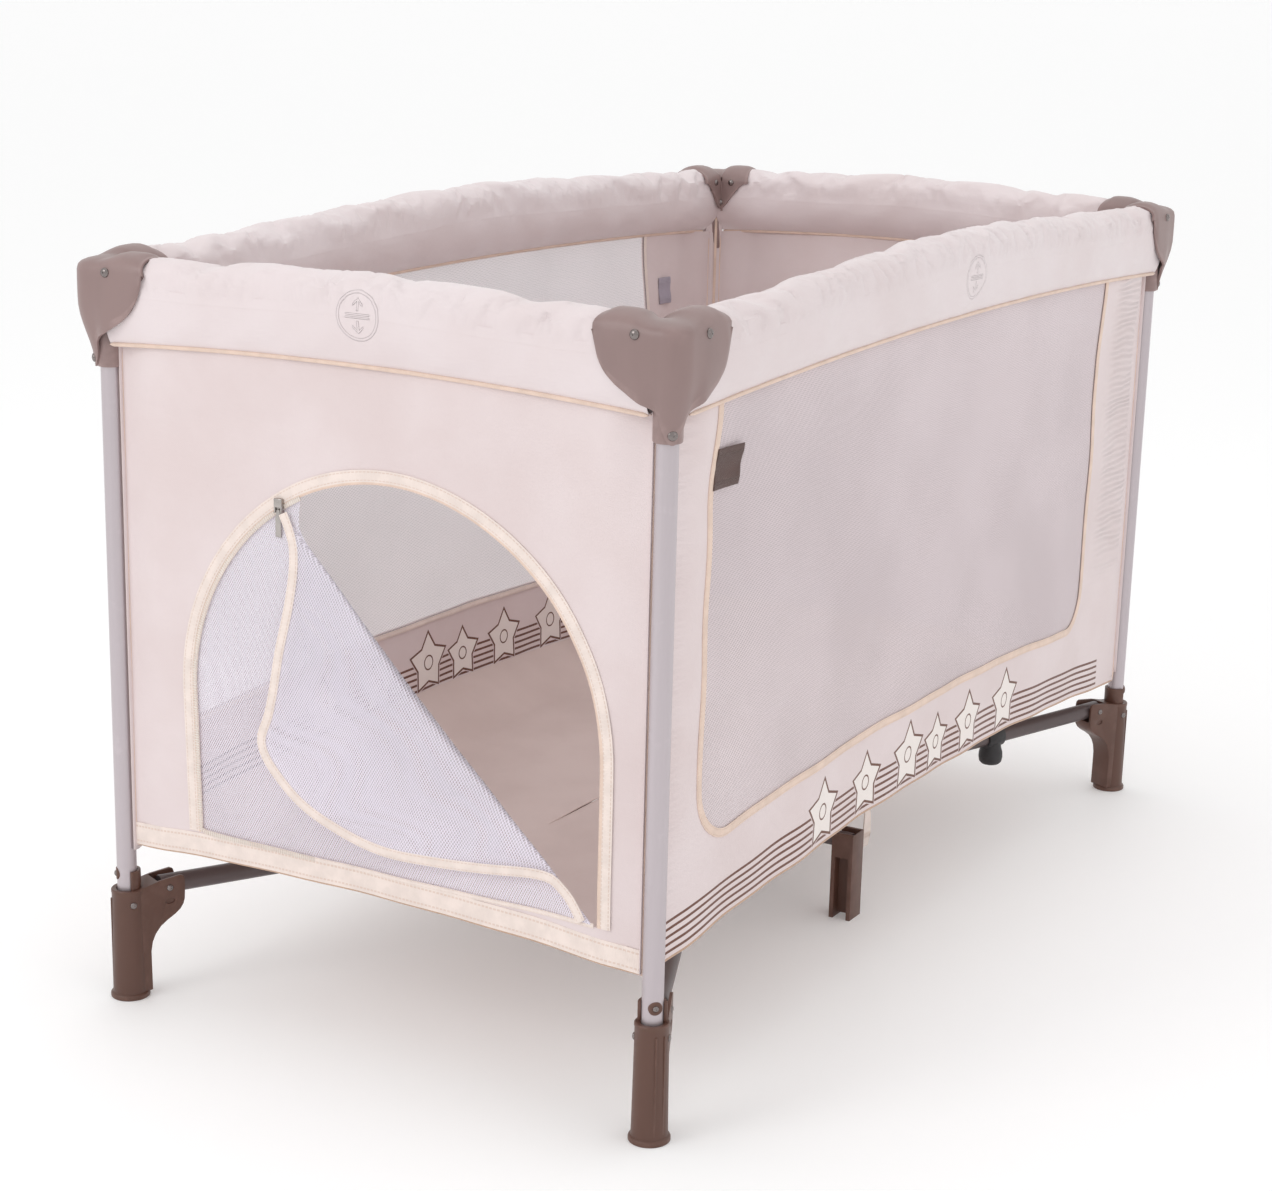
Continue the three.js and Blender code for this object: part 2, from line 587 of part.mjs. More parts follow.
function buildCorners() {
  const silver = finish(COLORS.silver, 0.35, 0.9);
  const brown = finish(COLORS.brown, 0.5);
  const taupe = finish(COLORS.taupe, 0.45);
  const dark = finish(COLORS.armPaint, 0.5, 0.4);
  const foot = footGeometry(), cover = coverGeometry(), post = postTube();
  const arm = pinnedTube(ARM_RADIUS, ARM_LENGTH);
  for (const [name, x, y] of CORNERS) {
    const at = [x * POST_X, y * POST_Y, 0];
    addMesh(`post_${name}`, post.clone(), silver).position.set(...at);
    addMesh(`foot_${name}`, mirrored(foot, -x, -y), brown).position.set(...at);
    addMesh(`corner_cover_${name}`, mirrored(cover, -x, -y), taupe).position.set(...at);
    const pivot = [
      x * (POST_X - ARM_PIVOT_OUT * ARM.x), y * (POST_Y - ARM_PIVOT_OUT * ARM.y), ARM_PIVOT_Z,
    ];
    const yaw = Math.atan2(-y * ARM.y, -x * ARM.x);
    addMesh(`base_arm_${name}`, arm.clone(), dark, runFrom(pivot, yaw, -OVER_CENTRE));
  }
}

// ---- top rails with their latches, buttons and fabric sleeves -------------------
function buildRails() {
  const silver = finish(COLORS.silver, 0.35, 0.9);
  const ivory = finish(COLORS.ivory, 0.85);
  const black = finish(COLORS.black, 0.5);
  const taupe = finish(COLORS.taupe, 0.5);
  const sides = [
    { side: 'front', ends: ['left', 'right'], sign: -1, alongX: true },
    { side: 'right', ends: ['front', 'rear'], sign: 1, alongX: false },
    { side: 'rear', ends: ['left', 'right'], sign: 1, alongX: true },
    { side: 'left', ends: ['front', 'rear'], sign: -1, alongX: false },
  ];
  for (const { side, ends, sign, alongX } of sides) {
    const length = alongX ? LONG_RAIL : SHORT_RAIL;
    const pinOut = alongX ? LONG_LATCH_PIN : SHORT_LATCH_PIN;
    const postOut = alongX ? POST_X : POST_Y;
    const across = sign * (alongX ? POST_Y : POST_X);
    const rail = pinnedTube(RAIL_RADIUS, length);
    const sleeve = tube(
      SLEEVE_RADIUS, RAIL_RADIUS + TOUCH_GAP, SLEEVE_FROM_CORNER_PIN, length - SLEEVE_FROM_LATCH_PIN,
    );
    for (const [i, end] of ends.entries()) {
      const out = (i === 0 ? -1 : 1) * (postOut - RAIL_PIVOT_OUT);
      const pivot = alongX ? [out, across, RAIL_PIVOT_Z] : [across, out, RAIL_PIVOT_Z];
      const yaw = (alongX ? 0 : Math.PI / 2) + (i === 0 ? 0 : Math.PI);
      const run = runFrom(pivot, yaw, OVER_CENTRE);
      addMesh(`rail_${side}_${end}`, rail.clone(), silver, run);
      addMesh(`sleeve_${side}_${end}`, sleeve.clone(), ivory, run);
    }
    // Local -Y of the latch, where its button is, faces out of the playpen.
    const facing = { front: 0, right: Math.PI / 2, rear: Math.PI, left: -Math.PI / 2 }[side];
    const middle = new THREE.Group();
    middle.position.set(alongX ? 0 : across, alongX ? across : 0, railTopZ(length));
    middle.rotation.z = facing;
    playpen.add(middle);
    addMesh(`latch_${side}`, latchGeometry(pinOut), black, middle);
    addMesh(`latch_button_${side}`, buttonGeometry(), taupe, middle);
  }
}

// ---- base hub, short arms, centre legs and lifting strap -------------------------
function buildBase() {
  const brown = finish(COLORS.brown, 0.5);
  const dark = finish(COLORS.armPaint, 0.5, 0.4);
  addMesh('hub', hubGeometry(), brown).position.z = HUB_Z;
  const midArm = pinnedTube(MID_ARM_RADIUS, LEG_Y - MID_PIVOT_Y);
  const leg = legGeometry();
  for (const [name, y] of [['front', -1], ['rear', 1]]) {
    const run = runFrom([0, y * MID_PIVOT_Y, HUB_Z], (y * Math.PI) / 2, 0);
    addMesh(`mid_arm_${name}`, midArm.clone(), dark, run);
    const mesh = addMesh(`centre_leg_${name}`, leg.clone(), brown);
    mesh.position.y = y * LEG_Y;
    mesh.rotation.z = y > 0 ? Math.PI : 0;
  }
  // A flat loop of webbing lying on the hub, its hand hold bowed up.
  const hubTop = HUB_Z + HUB_ROOF + HUB_TOP_SKIN + TOUCH_GAP;
  const tabEnd = STRAP_HALF, tab = STRAP_HALF - 16, bend = 12;
  const outerZ = hubTop + WEBBING;
  const bow = new THREE.Shape();
  bow.moveTo(-tabEnd, hubTop);
  bow.lineTo(-tab, hubTop);
  bow.bezierCurveTo(-bend, hubTop, -bend, hubTop + STRAP_RISE, 0, hubTop + STRAP_RISE);
  bow.bezierCurveTo(bend, hubTop + STRAP_RISE, bend, hubTop, tab, hubTop);
  bow.lineTo(tabEnd, hubTop);
  bow.lineTo(tabEnd, outerZ);
  bow.lineTo(tab, outerZ);
  const wide = bend + WEBBING;
  bow.bezierCurveTo(wide, outerZ, wide, outerZ + STRAP_RISE, 0, outerZ + STRAP_RISE);
  bow.bezierCurveTo(-wide, outerZ + STRAP_RISE, -wide, outerZ, -tab, outerZ);
  bow.lineTo(-tabEnd, outerZ);
  const strap = sidePlate(bow, -STRAP_WIDTH / 2, STRAP_WIDTH / 2, 6);
  addMesh('hub_lift_strap', strap, finish(COLORS.black, 0.9));
}

// ---- zip slider on the door arch, with its hanging pull ----------------------------
function buildZip() {
  const z = DOOR_SPRING_Z + Math.sqrt(DOOR_RADIUS ** 2 - (ZIP_Y - DOOR_Y) ** 2);
  const face = -POST_X + WALL_INSET - WALL_THICKNESS / 2 - TOUCH_GAP;
  const metal = finish(COLORS.silver, 0.3, 1);
  const back = 2.2, pullBack = back + 1, pullFront = pullBack + 1.2;
  const width = 9, height = 14, pullWidth = 6.4, neck = 3.6;
  const slot = (pullWidth / 2) - TOUCH_GAP;
  const slider = cut(
    box(face - pullFront - 0.6, face, -width / 2, width / 2, -height / 2, height / 2),
    box(face - FAR, face - back, -slot, slot, -FAR, -1.5),
  );
  addMesh('zip_slider', toGeometry(slider), metal).position.set(0, ZIP_Y, z);
  const pull = polygon([
    [-neck / 2, -4], [neck / 2, -4], [pullWidth / 2, -12], [pullWidth / 2, -30],
    [-pullWidth / 2, -30], [-pullWidth / 2, -12],
  ]);
  const tab = endPlate(pull, face - pullFront, face - pullBack);
  addMesh('zip_pull', tab, metal).position.set(0, ZIP_Y, z);
}

buildCorners();
buildRails();
buildBase();
buildWalls();
buildFloor();
buildZip();

export default playpen;
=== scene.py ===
import json
import math

import bpy
from mathutils import Matrix, Vector
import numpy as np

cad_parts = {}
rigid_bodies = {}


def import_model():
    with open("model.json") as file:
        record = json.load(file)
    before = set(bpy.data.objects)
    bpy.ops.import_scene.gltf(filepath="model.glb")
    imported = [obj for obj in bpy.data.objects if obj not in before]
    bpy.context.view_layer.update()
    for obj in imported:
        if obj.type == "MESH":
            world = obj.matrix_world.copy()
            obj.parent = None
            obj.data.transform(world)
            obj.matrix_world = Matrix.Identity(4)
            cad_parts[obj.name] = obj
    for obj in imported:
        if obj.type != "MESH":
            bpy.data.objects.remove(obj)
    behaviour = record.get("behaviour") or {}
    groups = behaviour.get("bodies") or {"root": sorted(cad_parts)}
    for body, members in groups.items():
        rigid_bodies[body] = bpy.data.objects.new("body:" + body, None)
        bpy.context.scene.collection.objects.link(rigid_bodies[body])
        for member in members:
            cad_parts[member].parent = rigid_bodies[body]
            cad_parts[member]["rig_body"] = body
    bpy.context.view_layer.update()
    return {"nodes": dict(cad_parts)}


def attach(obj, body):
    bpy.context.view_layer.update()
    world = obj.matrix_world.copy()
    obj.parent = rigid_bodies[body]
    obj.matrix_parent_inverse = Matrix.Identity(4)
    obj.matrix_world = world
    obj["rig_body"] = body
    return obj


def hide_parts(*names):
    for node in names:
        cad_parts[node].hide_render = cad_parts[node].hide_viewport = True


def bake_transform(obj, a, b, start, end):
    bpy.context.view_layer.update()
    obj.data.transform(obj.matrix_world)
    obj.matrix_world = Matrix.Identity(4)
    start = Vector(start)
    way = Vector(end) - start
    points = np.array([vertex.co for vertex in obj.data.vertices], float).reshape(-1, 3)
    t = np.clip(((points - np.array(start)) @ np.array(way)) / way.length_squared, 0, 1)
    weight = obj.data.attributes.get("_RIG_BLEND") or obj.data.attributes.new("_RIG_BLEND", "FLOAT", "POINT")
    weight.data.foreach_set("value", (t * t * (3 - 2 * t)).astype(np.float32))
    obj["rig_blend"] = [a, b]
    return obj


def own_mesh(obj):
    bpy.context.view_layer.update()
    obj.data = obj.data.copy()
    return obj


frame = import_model()

# ---- sizes shared with the frame, in metres ---------------------------------
POST_X, POST_Y = 0.600, 0.306
RAIL_PIVOT_Z, RAIL_PIVOT_OUT = 0.732, 0.034
ARM_PIVOT_Z, ARM_PIVOT_OUT = 0.1125, 0.040
OVER_CENTRE = math.radians(2.2)
SLOPE = math.tan(OVER_CENTRE)
HUB_PIN_X, HUB_PIN_Y = 0.030, 0.050
ARM_YAW = math.atan2(POST_Y - HUB_PIN_Y, POST_X - HUB_PIN_X)
ARM_SPAN = math.hypot(POST_X - HUB_PIN_X, POST_Y - HUB_PIN_Y) - ARM_PIVOT_OUT
HUB_Z = ARM_PIVOT_Z - ARM_SPAN * SLOPE
LATCH_PIN = {"long": 0.03249, "short": 0.03239}


ZIP_Y, ZIP_Z = 0.105, 0.539
CORNERS = {
    "front_left": (-1, -1), "front_right": (1, -1),
    "rear_right": (1, 1), "rear_left": (-1, 1),
}


# ---- finishes: shader sums written as plain expressions ----------------------
class Channel:
    """One output of a finish's nodes, with the sums that the finishes use."""

    def __init__(self, finish, socket):
        self.finish, self.socket = finish, socket

    def math(self, operation, *others):
        return self.finish.node("Math", {"operation": operation},
                                dict(enumerate((self, *others))))

    def __add__(self, other):
        return self.math("ADD", other)

    def __sub__(self, other):
        return self.math("SUBTRACT", other)

    def __rsub__(self, other):
        return self.finish.node("Math", {"operation": "SUBTRACT"}, {0: other, 1: self})

    def __mul__(self, other):
        return self.math("MULTIPLY", other)

    def __truediv__(self, other):
        return self.math("DIVIDE", other)

    def __gt__(self, other):
        return self.math("GREATER_THAN", other)

    def __lt__(self, other):
        return self.math("LESS_THAN", other)

    __radd__, __rmul__ = __add__, __mul__

    def size(self):
        return self.math("ABSOLUTE")

    def least(self, other):
        return self.math("MINIMUM", other)

    def most(self, other):
        return self.math("MAXIMUM", other)

    def rise(self, low, high):
        """0 below low and 1 above high, with a soft step between them."""
        return self.finish.node(
            "MapRange", {"interpolation_type": "SMOOTHSTEP"},
            {"Value": self, "From Min": low, "From Max": high})


class Finish:
    """A material with one shader, built from named nodes."""

    def __init__(self, name):
        self.material = bpy.data.materials.new(name)
        self.material.use_nodes = True
        self.tree = self.material.node_tree
        self.shader = self.tree.nodes["Principled BSDF"]
        place = self.tree.nodes.new("ShaderNodeTexCoord")
        self.place = Channel(self, place.outputs["Object"])
        self.unwrapped = Channel(self, place.outputs["UV"])

    def feed(self, socket, value):
        if isinstance(value, Channel):
            self.tree.links.new(value.socket, socket)
        elif hasattr(value, "__len__") and len(value) == 3 and socket.type == "RGBA":
            socket.default_value = (*value, 1)
        else:
            socket.default_value = value

    def node(self, kind, settings=None, values=None, output=0):
        made = self.tree.nodes.new("ShaderNode" + kind)
        for key, value in (settings or {}).items():
            setattr(made, key, value)
        for key, value in (values or {}).items():
            self.feed(made.inputs[key], value)
        return Channel(self, made.outputs[output])

    def axes(self, vector=None):
        vector = vector or self.place
        split = self.node("SeparateXYZ", values={0: vector})
        outputs = split.socket.node.outputs
        return [Channel(self, outputs[i]) for i in range(3)]

    def stretched(self, scale, turn=(0, 0, 0)):
        return self.node("Mapping", values={"Vector": self.place, "Scale": scale, "Rotation": turn})

    def noise(self, scale, detail=3, vector=None, roughness=0.55):
        return self.node("TexNoise", values={
            "Vector": vector or self.place, "Scale": scale, "Detail": detail,
            "Roughness": roughness})

    def blend(self, factor, first, second):
        mix = self.tree.nodes.new("ShaderNodeMix")
        mix.data_type = "RGBA"
        for key, value in ((0, factor), (6, first), (7, second)):
            self.feed(mix.inputs[key], value)
        return Channel(self, mix.outputs[2])

    def bump(self, height, distance, strength=1.0, under=None):
        values = {"Height": height, "Distance": distance, "Strength": strength}
        if under:
            values["Normal"] = under
        return self.node("Bump", values=values)

    def shade(self, **values):
        for key, value in values.items():
            self.feed(self.shader.inputs[key.replace("_", " ")], value)
        return self.material


def linear(red, green, blue):
    """A colour given as on a paint card, 0 to 255, in the shader's own scale."""
    def channel(value):
        value /= 255
        return value / 12.92 if value <= 0.04045 else ((value + 0.055) / 1.055) ** 2.4
    return tuple(channel(value) for value in (red, green, blue))


IVORY = linear(226, 212, 212)
IVORY_SHADE = linear(219, 203, 202)
PEACH = linear(231, 206, 190)
BROWN_PRINT = linear(104, 62, 46)


def woven(finish, pitch):
    """Over-and-under threads that follow any face of the cloth."""
    x, y, z = finish.axes()
    turn = math.pi / pitch
    warp = ((x + y) * turn).math("SINE")
    weft = ((z + (y - x) * 0.35) * turn).math("SINE")
    return warp * weft


def cloth_finish(name, colour, shade, roughness=0.62, sheen=0.2, pitch=0.0009, print_of=None,
                 ruffle=None, emboss=None):
    finish = Finish(name)
    thread = woven(finish, pitch)
    drift = finish.noise(7, 4)
    fine = finish.noise(420, 2)
    creases = finish.noise(9, 5, finish.stretched((1, 1, 2.2), (0.4, 0.3, 0.5)))
    tone = finish.blend(drift.rise(0.3, 0.75), colour, shade)
    tone = finish.blend((fine * 0.5 + thread * 0.12).rise(0.1, 0.9) * 0.35, tone,
                        tuple(c * 0.86 for c in colour))
    if print_of:
        tone = print_of(finish, tone)
    relief = finish.bump(creases, 0.004, 0.55)
    if ruffle:
        waves = ruffle(finish)
        relief = finish.bump(waves, 0.0018, 0.8, relief)
    if emboss:
        relief = finish.bump(emboss(finish), 0.0011, 1.0, relief)
    weave = finish.bump(thread * 0.5 + fine * 0.4, 0.00018, 0.6, relief)
    return finish.shade(
        Base_Color=tone, Roughness=(drift * 0.16 + (roughness - 0.08)), Normal=weave,
        Sheen_Weight=sheen, Sheen_Roughness=0.45, Specular_IOR_Level=0.35,
        Subsurface_Weight=0.0)


STARS = [(-0.269, 0.036), (-0.164, 0.034), (-0.065, 0.038), (0.009, 0.033), (0.097, 0.036),
         (0.207, 0.038)]


def hem_z_long(x):
    """Height of a long wall's arched hem at a place along it, as a number or as a shader sum."""
    along = (x + 0.05) / 0.57
    return 0.1885 - along * along * 0.0295 - x * 0.0067


def printed_band(finish, cloth):
    """Five brown stripes along the hem, broken by a row of plain stars."""
    x, _, z = finish.axes()
    rows = (z - hem_z_long(x) - 0.0035) / 0.0074
    dash = rows.math("FRACT")
    ink = (dash > 0.32) * (dash < 0.70) * (rows > 0) * (rows < 5)
    ink = ink * (x > -0.586) * (x < 0.512)
    points = 5
    for star_x, reach in STARS:
        star_z = hem_z_long(star_x) + reach * 0.92 + 0.002
        dx, dz = x - star_x, z - star_z
        angle = dx.math("ARCTAN2", dz)
        part = angle.math("PINGPONG", math.pi / points)
        radius = (dx * dx + dz * dz).math("SQRT")
        # The slanted edge from an outer point to the next inner corner.
        inner = 0.60 * reach
        ex = inner * math.cos(math.pi / points) - reach
        ey = inner * math.sin(math.pi / points)
        length = math.hypot(ex, ey)
        nx, ny = ey / length, -ex / length
        edge = radius * (part.math("COSINE") * nx + part.math("SINE") * ny) - reach * nx
        inside = edge < 0.0022
        ink = ink * (1 - inside)
        cloth = finish.blend((edge < 0) * 0.75, cloth, linear(243, 236, 230))
        ink = ink.most((edge > -0.0014) * (edge < 0.0012))
        # A small plain ring in the middle of each star.
        ring = (radius - reach * 0.22).size() < 0.0009
        ink = ink.most(ring)
    worn = finish.noise(900, 2).rise(0.25, 0.42)
    return finish.blend(ink * (worn * 0.2 + 0.8), cloth, BROWN_PRINT)


def ruffled_strip(finish):
    """Gathers that run across the elastic strip at the right end of each long wall."""
    x, y, z = finish.axes()
    wobble = finish.noise(16, 2, finish.stretched((0.4, 0.4, 1)))
    waves = ((z + wobble * 0.03) * 430).math("SINE")
    near = x.rise(0.452, 0.50) * (1 - x.rise(0.555, 0.575)) * z.rise(0.28, 0.36)
    left = (1 - x.rise(-0.575, -0.555)) * 0.4
    return waves * near.most(left) * (y < 0)


def press_mark(finish):
    """A round embossed mark with a plain arrow up and an arrow down, over each latch."""
    x, y, z = finish.axes()
    along = x.size().least(y.size())
    up = z - 0.7290
    outside = (x.size() - 0.604).most(y.size() - 0.310) > 0
    radius = (along * along + up * up).math("SQRT")
    ring = 1 - (radius - 0.0215).size().rise(0.0006, 0.0019)
    stem = (1 - along.rise(0.0006, 0.0016)) * up.size().rise(0.0040, 0.0050) * (
        1 - up.size().rise(0.0150, 0.0160))
    head = (1 - ((up.size() - 0.0150) + along * 0.9).size().rise(0.0006, 0.0017)) * (
        1 - along.rise(0.0050, 0.0060))
    bars = (1 - (up.size() - 0.0015).size().rise(0.0004, 0.0011)) * (
        1 - along.rise(0.0125, 0.0135))
    return ring.most(stem).most(head).most(bars) * outside


def net_finish(name, pitch, colour, solid, hole):
    """Knitted net: round holes between slanting threads."""
    finish = Finish(name)
    x, y, z = finish.axes()
    along, up = (x + y) * (math.pi / pitch), z * (math.pi / pitch * 0.62)
    first = (along + up).math("SINE").size()
    second = (along - up).math("SINE").size()
    open_part = (first * second).rise(0.30, 0.62)
    drift = finish.noise(6, 3)
    tone = finish.blend(drift.rise(0.3, 0.7), colour, tuple(c * 0.90 for c in colour))
    cover = (1 - open_part) * (solid - hole) + hole
    return finish.shade(
        Base_Color=tone, Alpha=cover, Roughness=drift * 0.1 + 0.66,
        Normal=finish.bump(1 - open_part, 0.0006, 0.5),
        Sheen_Weight=0.2, Sheen_Roughness=0.5, Specular_IOR_Level=0.3)


def tape_finish(name, colour, pitch=0.0012, stitch=0.0042, thread=linear(214, 184, 166)):
    """Narrow ribbed tape with a row of stitches near each edge, unwrapped in metres."""
    finish = Finish(name)
    along, across, _ = finish.axes(finish.unwrapped)
    rib = (along * (math.pi / pitch)).math("SINE")
    from_edge = (across - 0.5).size()
    seam = (from_edge > 0.29) * (from_edge < 0.37)
    dash = (along / stitch).math("FRACT")
    stitches = seam * (dash < 0.68)
    drift = finish.noise(60, 3)
    tone = finish.blend(drift.rise(0.3, 0.7), colour, tuple(c * 0.9 for c in colour))
    tone = finish.blend(stitches * 0.5, tone, thread)
    relief = finish.bump(stitches * 0.8 + rib * 0.14 + drift * 0.5, 0.0006, 0.7)
    return finish.shade(Base_Color=tone, Roughness=drift * 0.15 + 0.6, Normal=relief,
                        Sheen_Weight=0.2, Specular_IOR_Level=0.3)


def moulded_finish(name, colour, roughness, grain=1500, depth=0.00006, coat=0.08):
    """Moulded plastic with a fine spark grain, faint flow marks and a painted highlight that lightens its
    sharp edges in patches.
    """
    finish = Finish(name)
    spark = finish.noise(grain, 2)
    flow = finish.noise(14, 4, finish.stretched((1, 1, 0.35)))
    sheen_noise = finish.noise(60, 5)
    edge = finish.node("NewGeometry", output="Pointiness").rise(0.505, 0.56)
    tone = finish.blend(flow.rise(0.3, 0.75), colour, tuple(c * 0.88 for c in colour))
    # Painted highlight: sharp convex edges are lightened in patches, standing in for light caught on the
    # edges.
    tone = finish.blend(edge * sheen_noise.rise(0.35, 0.7) * 0.35, tone,
                        tuple(min(1, c * 1.5 + 0.03) for c in colour))
    return finish.shade(
        Base_Color=tone, Roughness=(spark * 0.14 + sheen_noise * 0.12 + (roughness - 0.13)),
        Normal=finish.bump(spark + flow * 0.6, depth, 0.8), Coat_Weight=coat,
        Coat_Roughness=0.4, Specular_IOR_Level=0.42)


def painted_tube_finish(name, colour, metallic, roughness):
    """Powder paint on drawn tube: faint lines along it, fine orange peel, small scuffs."""
    finish = Finish(name)
    drawn = finish.noise(260, 3, finish.stretched((1, 1, 0.04)))
    peel = finish.noise(900, 2)
    scuff = finish.noise(38, 6).rise(0.60, 0.72)
    flake = finish.noise(2600, 1)
    tone = finish.blend(drawn * 0.35 + flake * 0.25, colour, tuple(c * 0.78 for c in colour))
    tone = finish.blend(scuff * 0.25, tone, tuple(min(1, c * 1.2 + 0.02) for c in colour))
    return finish.shade(
        Base_Color=tone, Metallic=metallic, Roughness=(peel * 0.1 + scuff * 0.12 + roughness),
        Normal=finish.bump(peel * 0.5 + drawn * 0.3, 0.00007, 0.7), Coat_Weight=0.15,
        Coat_Roughness=0.25)


def chrome_finish(name, colour, roughness):
    finish = Finish(name)
    turned = finish.noise(700, 3)
    haze = finish.noise(90, 4)
    tone = finish.blend(haze.rise(0.35, 0.8) * 0.4, colour, tuple(c * 0.8 for c in colour))
    return finish.shade(Base_Color=tone, Metallic=1.0, Roughness=(haze * 0.14 + roughness),
                        Normal=finish.bump(turned, 0.00004, 0.5))


ivory_cloth = cloth_finish("ivory_cloth", IVORY, IVORY_SHADE)
ivory_satin = cloth_finish("ivory_satin", linear(228, 216, 217), linear(222, 208, 208),
                           roughness=0.5, sheen=0.3, pitch=0.0007, emboss=press_mark)
printed_cloth = cloth_finish("printed_cloth", IVORY, IVORY_SHADE, print_of=printed_band,
                             ruffle=ruffled_strip)
floor_cloth = cloth_finish("floor_cloth", linear(217, 198, 192), linear(206, 186, 180),
                           roughness=0.58)
net_cloth = net_finish("net_cloth", 0.0024, linear(226, 215, 219), 0.97, 0.34)
door_net = net_finish("door_net", 0.0027, linear(234, 227, 238), 0.97, 0.24)
peach_tape = tape_finish("peach_tape", PEACH)
ivory_tape = tape_finish("ivory_tape", linear(238, 223, 215))
hem_tape = tape_finish("hem_tape", linear(196, 164, 142))
brown_label = tape_finish("brown_label", linear(88, 62, 56), pitch=0.0008,
                          thread=linear(112, 84, 76))
grey_label = tape_finish("grey_label", linear(176, 166, 180), pitch=0.0008,
                         thread=linear(196, 188, 200))
webbing = tape_finish("webbing", linear(52, 46, 46), pitch=0.0016)
taupe_plastic = moulded_finish("taupe_plastic", linear(144, 121, 118), 0.40)
brown_plastic = moulded_finish("brown_plastic", linear(94, 64, 53), 0.42)
black_plastic = moulded_finish("black_plastic", linear(44, 42, 44), 0.5)
silver_tube = painted_tube_finish("silver_tube", linear(196, 186, 190), 0.55, 0.30)
arm_paint = painted_tube_finish("arm_paint", linear(96, 84, 84), 0.35, 0.34)
rivet_chrome = chrome_finish("rivet_chrome", linear(134, 126, 124), 0.16)
zip_metal = chrome_finish("zip_metal", linear(178, 172, 168), 0.2)


# ---- shaping with Blender's own tools -----------------------------------------
def clear_selection():
    if bpy.context.mode != "OBJECT":
        bpy.ops.object.mode_set(mode="OBJECT")
    bpy.ops.object.select_all(action="DESELECT")


def take(obj):
    clear_selection()
    obj.select_set(True)
    bpy.context.view_layer.objects.active = obj
    return obj


def begin(primitive, **sizes):
    clear_selection()
    getattr(bpy.ops.mesh, "primitive_" + primitive)(**sizes)
    return bpy.context.object


def fix_place(obj):
    take(obj)
    bpy.ops.object.transform_apply(location=True, rotation=True, scale=True)
    return obj


def edit(obj):
    take(obj)
    bpy.ops.object.mode_set(mode="EDIT")
    bpy.ops.mesh.select_all(action="SELECT")


def tidy_normals(obj):
    edit(obj)
    bpy.ops.mesh.remove_doubles(threshold=0.00002)
    bpy.ops.mesh.normals_make_consistent(inside=False)
    bpy.ops.object.mode_set(mode="OBJECT")
    return obj


def modifier(obj, kind, **settings):
    take(obj)
    made = obj.modifiers.new(kind.lower(), kind)
    for key, value in settings.items():
        setattr(made, key, value)
    bpy.ops.object.modifier_apply(modifier=made.name)
    return obj


def smooth(obj, angle=35):
    take(obj)
    bpy.ops.object.shade_smooth_by_angle(angle=math.radians(angle))
    return obj


def soften(obj, width, segments=2, angle=35):
    modifier(obj, "BEVEL", width=width, segments=segments, limit_method="ANGLE",
             angle_limit=math.radians(angle), harden_normals=False)
    return smooth(obj, angle)


def named(obj, name, material, body=None, replaces=()):
    obj.name = name
    obj.data.name = name
    obj.data.materials.clear()
    obj.data.materials.append(material)
    if body:
        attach(obj, body)
    if replaces:
        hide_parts(*replaces)
    return obj


def joined(*objs):
    clear_selection()
    for obj in objs:
        obj.select_set(True)
    bpy.context.view_layer.objects.active = objs[0]
    bpy.ops.object.join()
    return objs[0]


def copied(obj, matrix):
    """A copy with its own mesh, its place in the mesh, turned the right way out."""
    copy = obj.copy()
    copy.data = obj.data.copy()
    copy.modifiers.clear()
    bpy.context.scene.collection.objects.link(copy)
    copy.data.transform(matrix)
    if matrix.determinant() < 0:
        copy.data.flip_normals()
    return copy


def turned_piece(profile, sides=40):
    """A round piece drawn up from a disc: each profile step is (radius, height)."""
    first_radius, first_z = profile[0]
    obj = begin("circle_add", vertices=sides, radius=first_radius, fill_type="NGON",
                location=(0, 0, first_z))
    fix_place(obj)
    edit(obj)
    radius, height = first_radius, first_z
    for next_radius, next_z in profile[1:]:
        bpy.ops.mesh.extrude_region_move(
            TRANSFORM_OT_translate={"value": (0, 0, next_z - height)})
        share = next_radius / radius
        bpy.ops.transform.resize(value=(share, share, 1), center_override=(0, 0, next_z))
        radius, height = next_radius, next_z
    bpy.ops.mesh.select_all(action="SELECT")
    bpy.ops.mesh.normals_make_consistent(inside=False)
    bpy.ops.object.mode_set(mode="OBJECT")
    return obj


def cloth_grid(across, along, place, unwrap=None, closed=False):
    """A woven grid whose every crossing is laid at place(u, v), u and v from 0 to 1."""
    obj = begin("grid_add", x_subdivisions=across, y_subdivisions=along, size=2,
                calc_uvs=True)
    mesh = obj.data
    shares = [((v.co.x + 1) / 2, (v.co.y + 1) / 2) for v in mesh.vertices]
    for vertex, (u, v) in zip(mesh.vertices, shares):
        vertex.co = place(u, v)
    layer = mesh.uv_layers.active.data
    for loop in mesh.loops:
        u, v = shares[loop.vertex_index]
        layer[loop.index].uv = unwrap(u, v) if unwrap else (u, v)
    if closed:
        tidy_normals(obj)
    take(obj)
    bpy.ops.object.shade_smooth()
    return obj


def faced_out(obj, outward):
    """Turns a sheet's faces to look along outward, a direction for each place."""
    if sum(face.normal.dot(outward(face.center)) for face in obj.data.polygons) < 0:
        obj.data.flip_normals()
    return obj


def thicken(obj, thickness, offset=0):
    return modifier(obj, "SOLIDIFY", thickness=thickness, offset=offset, use_even_offset=True)


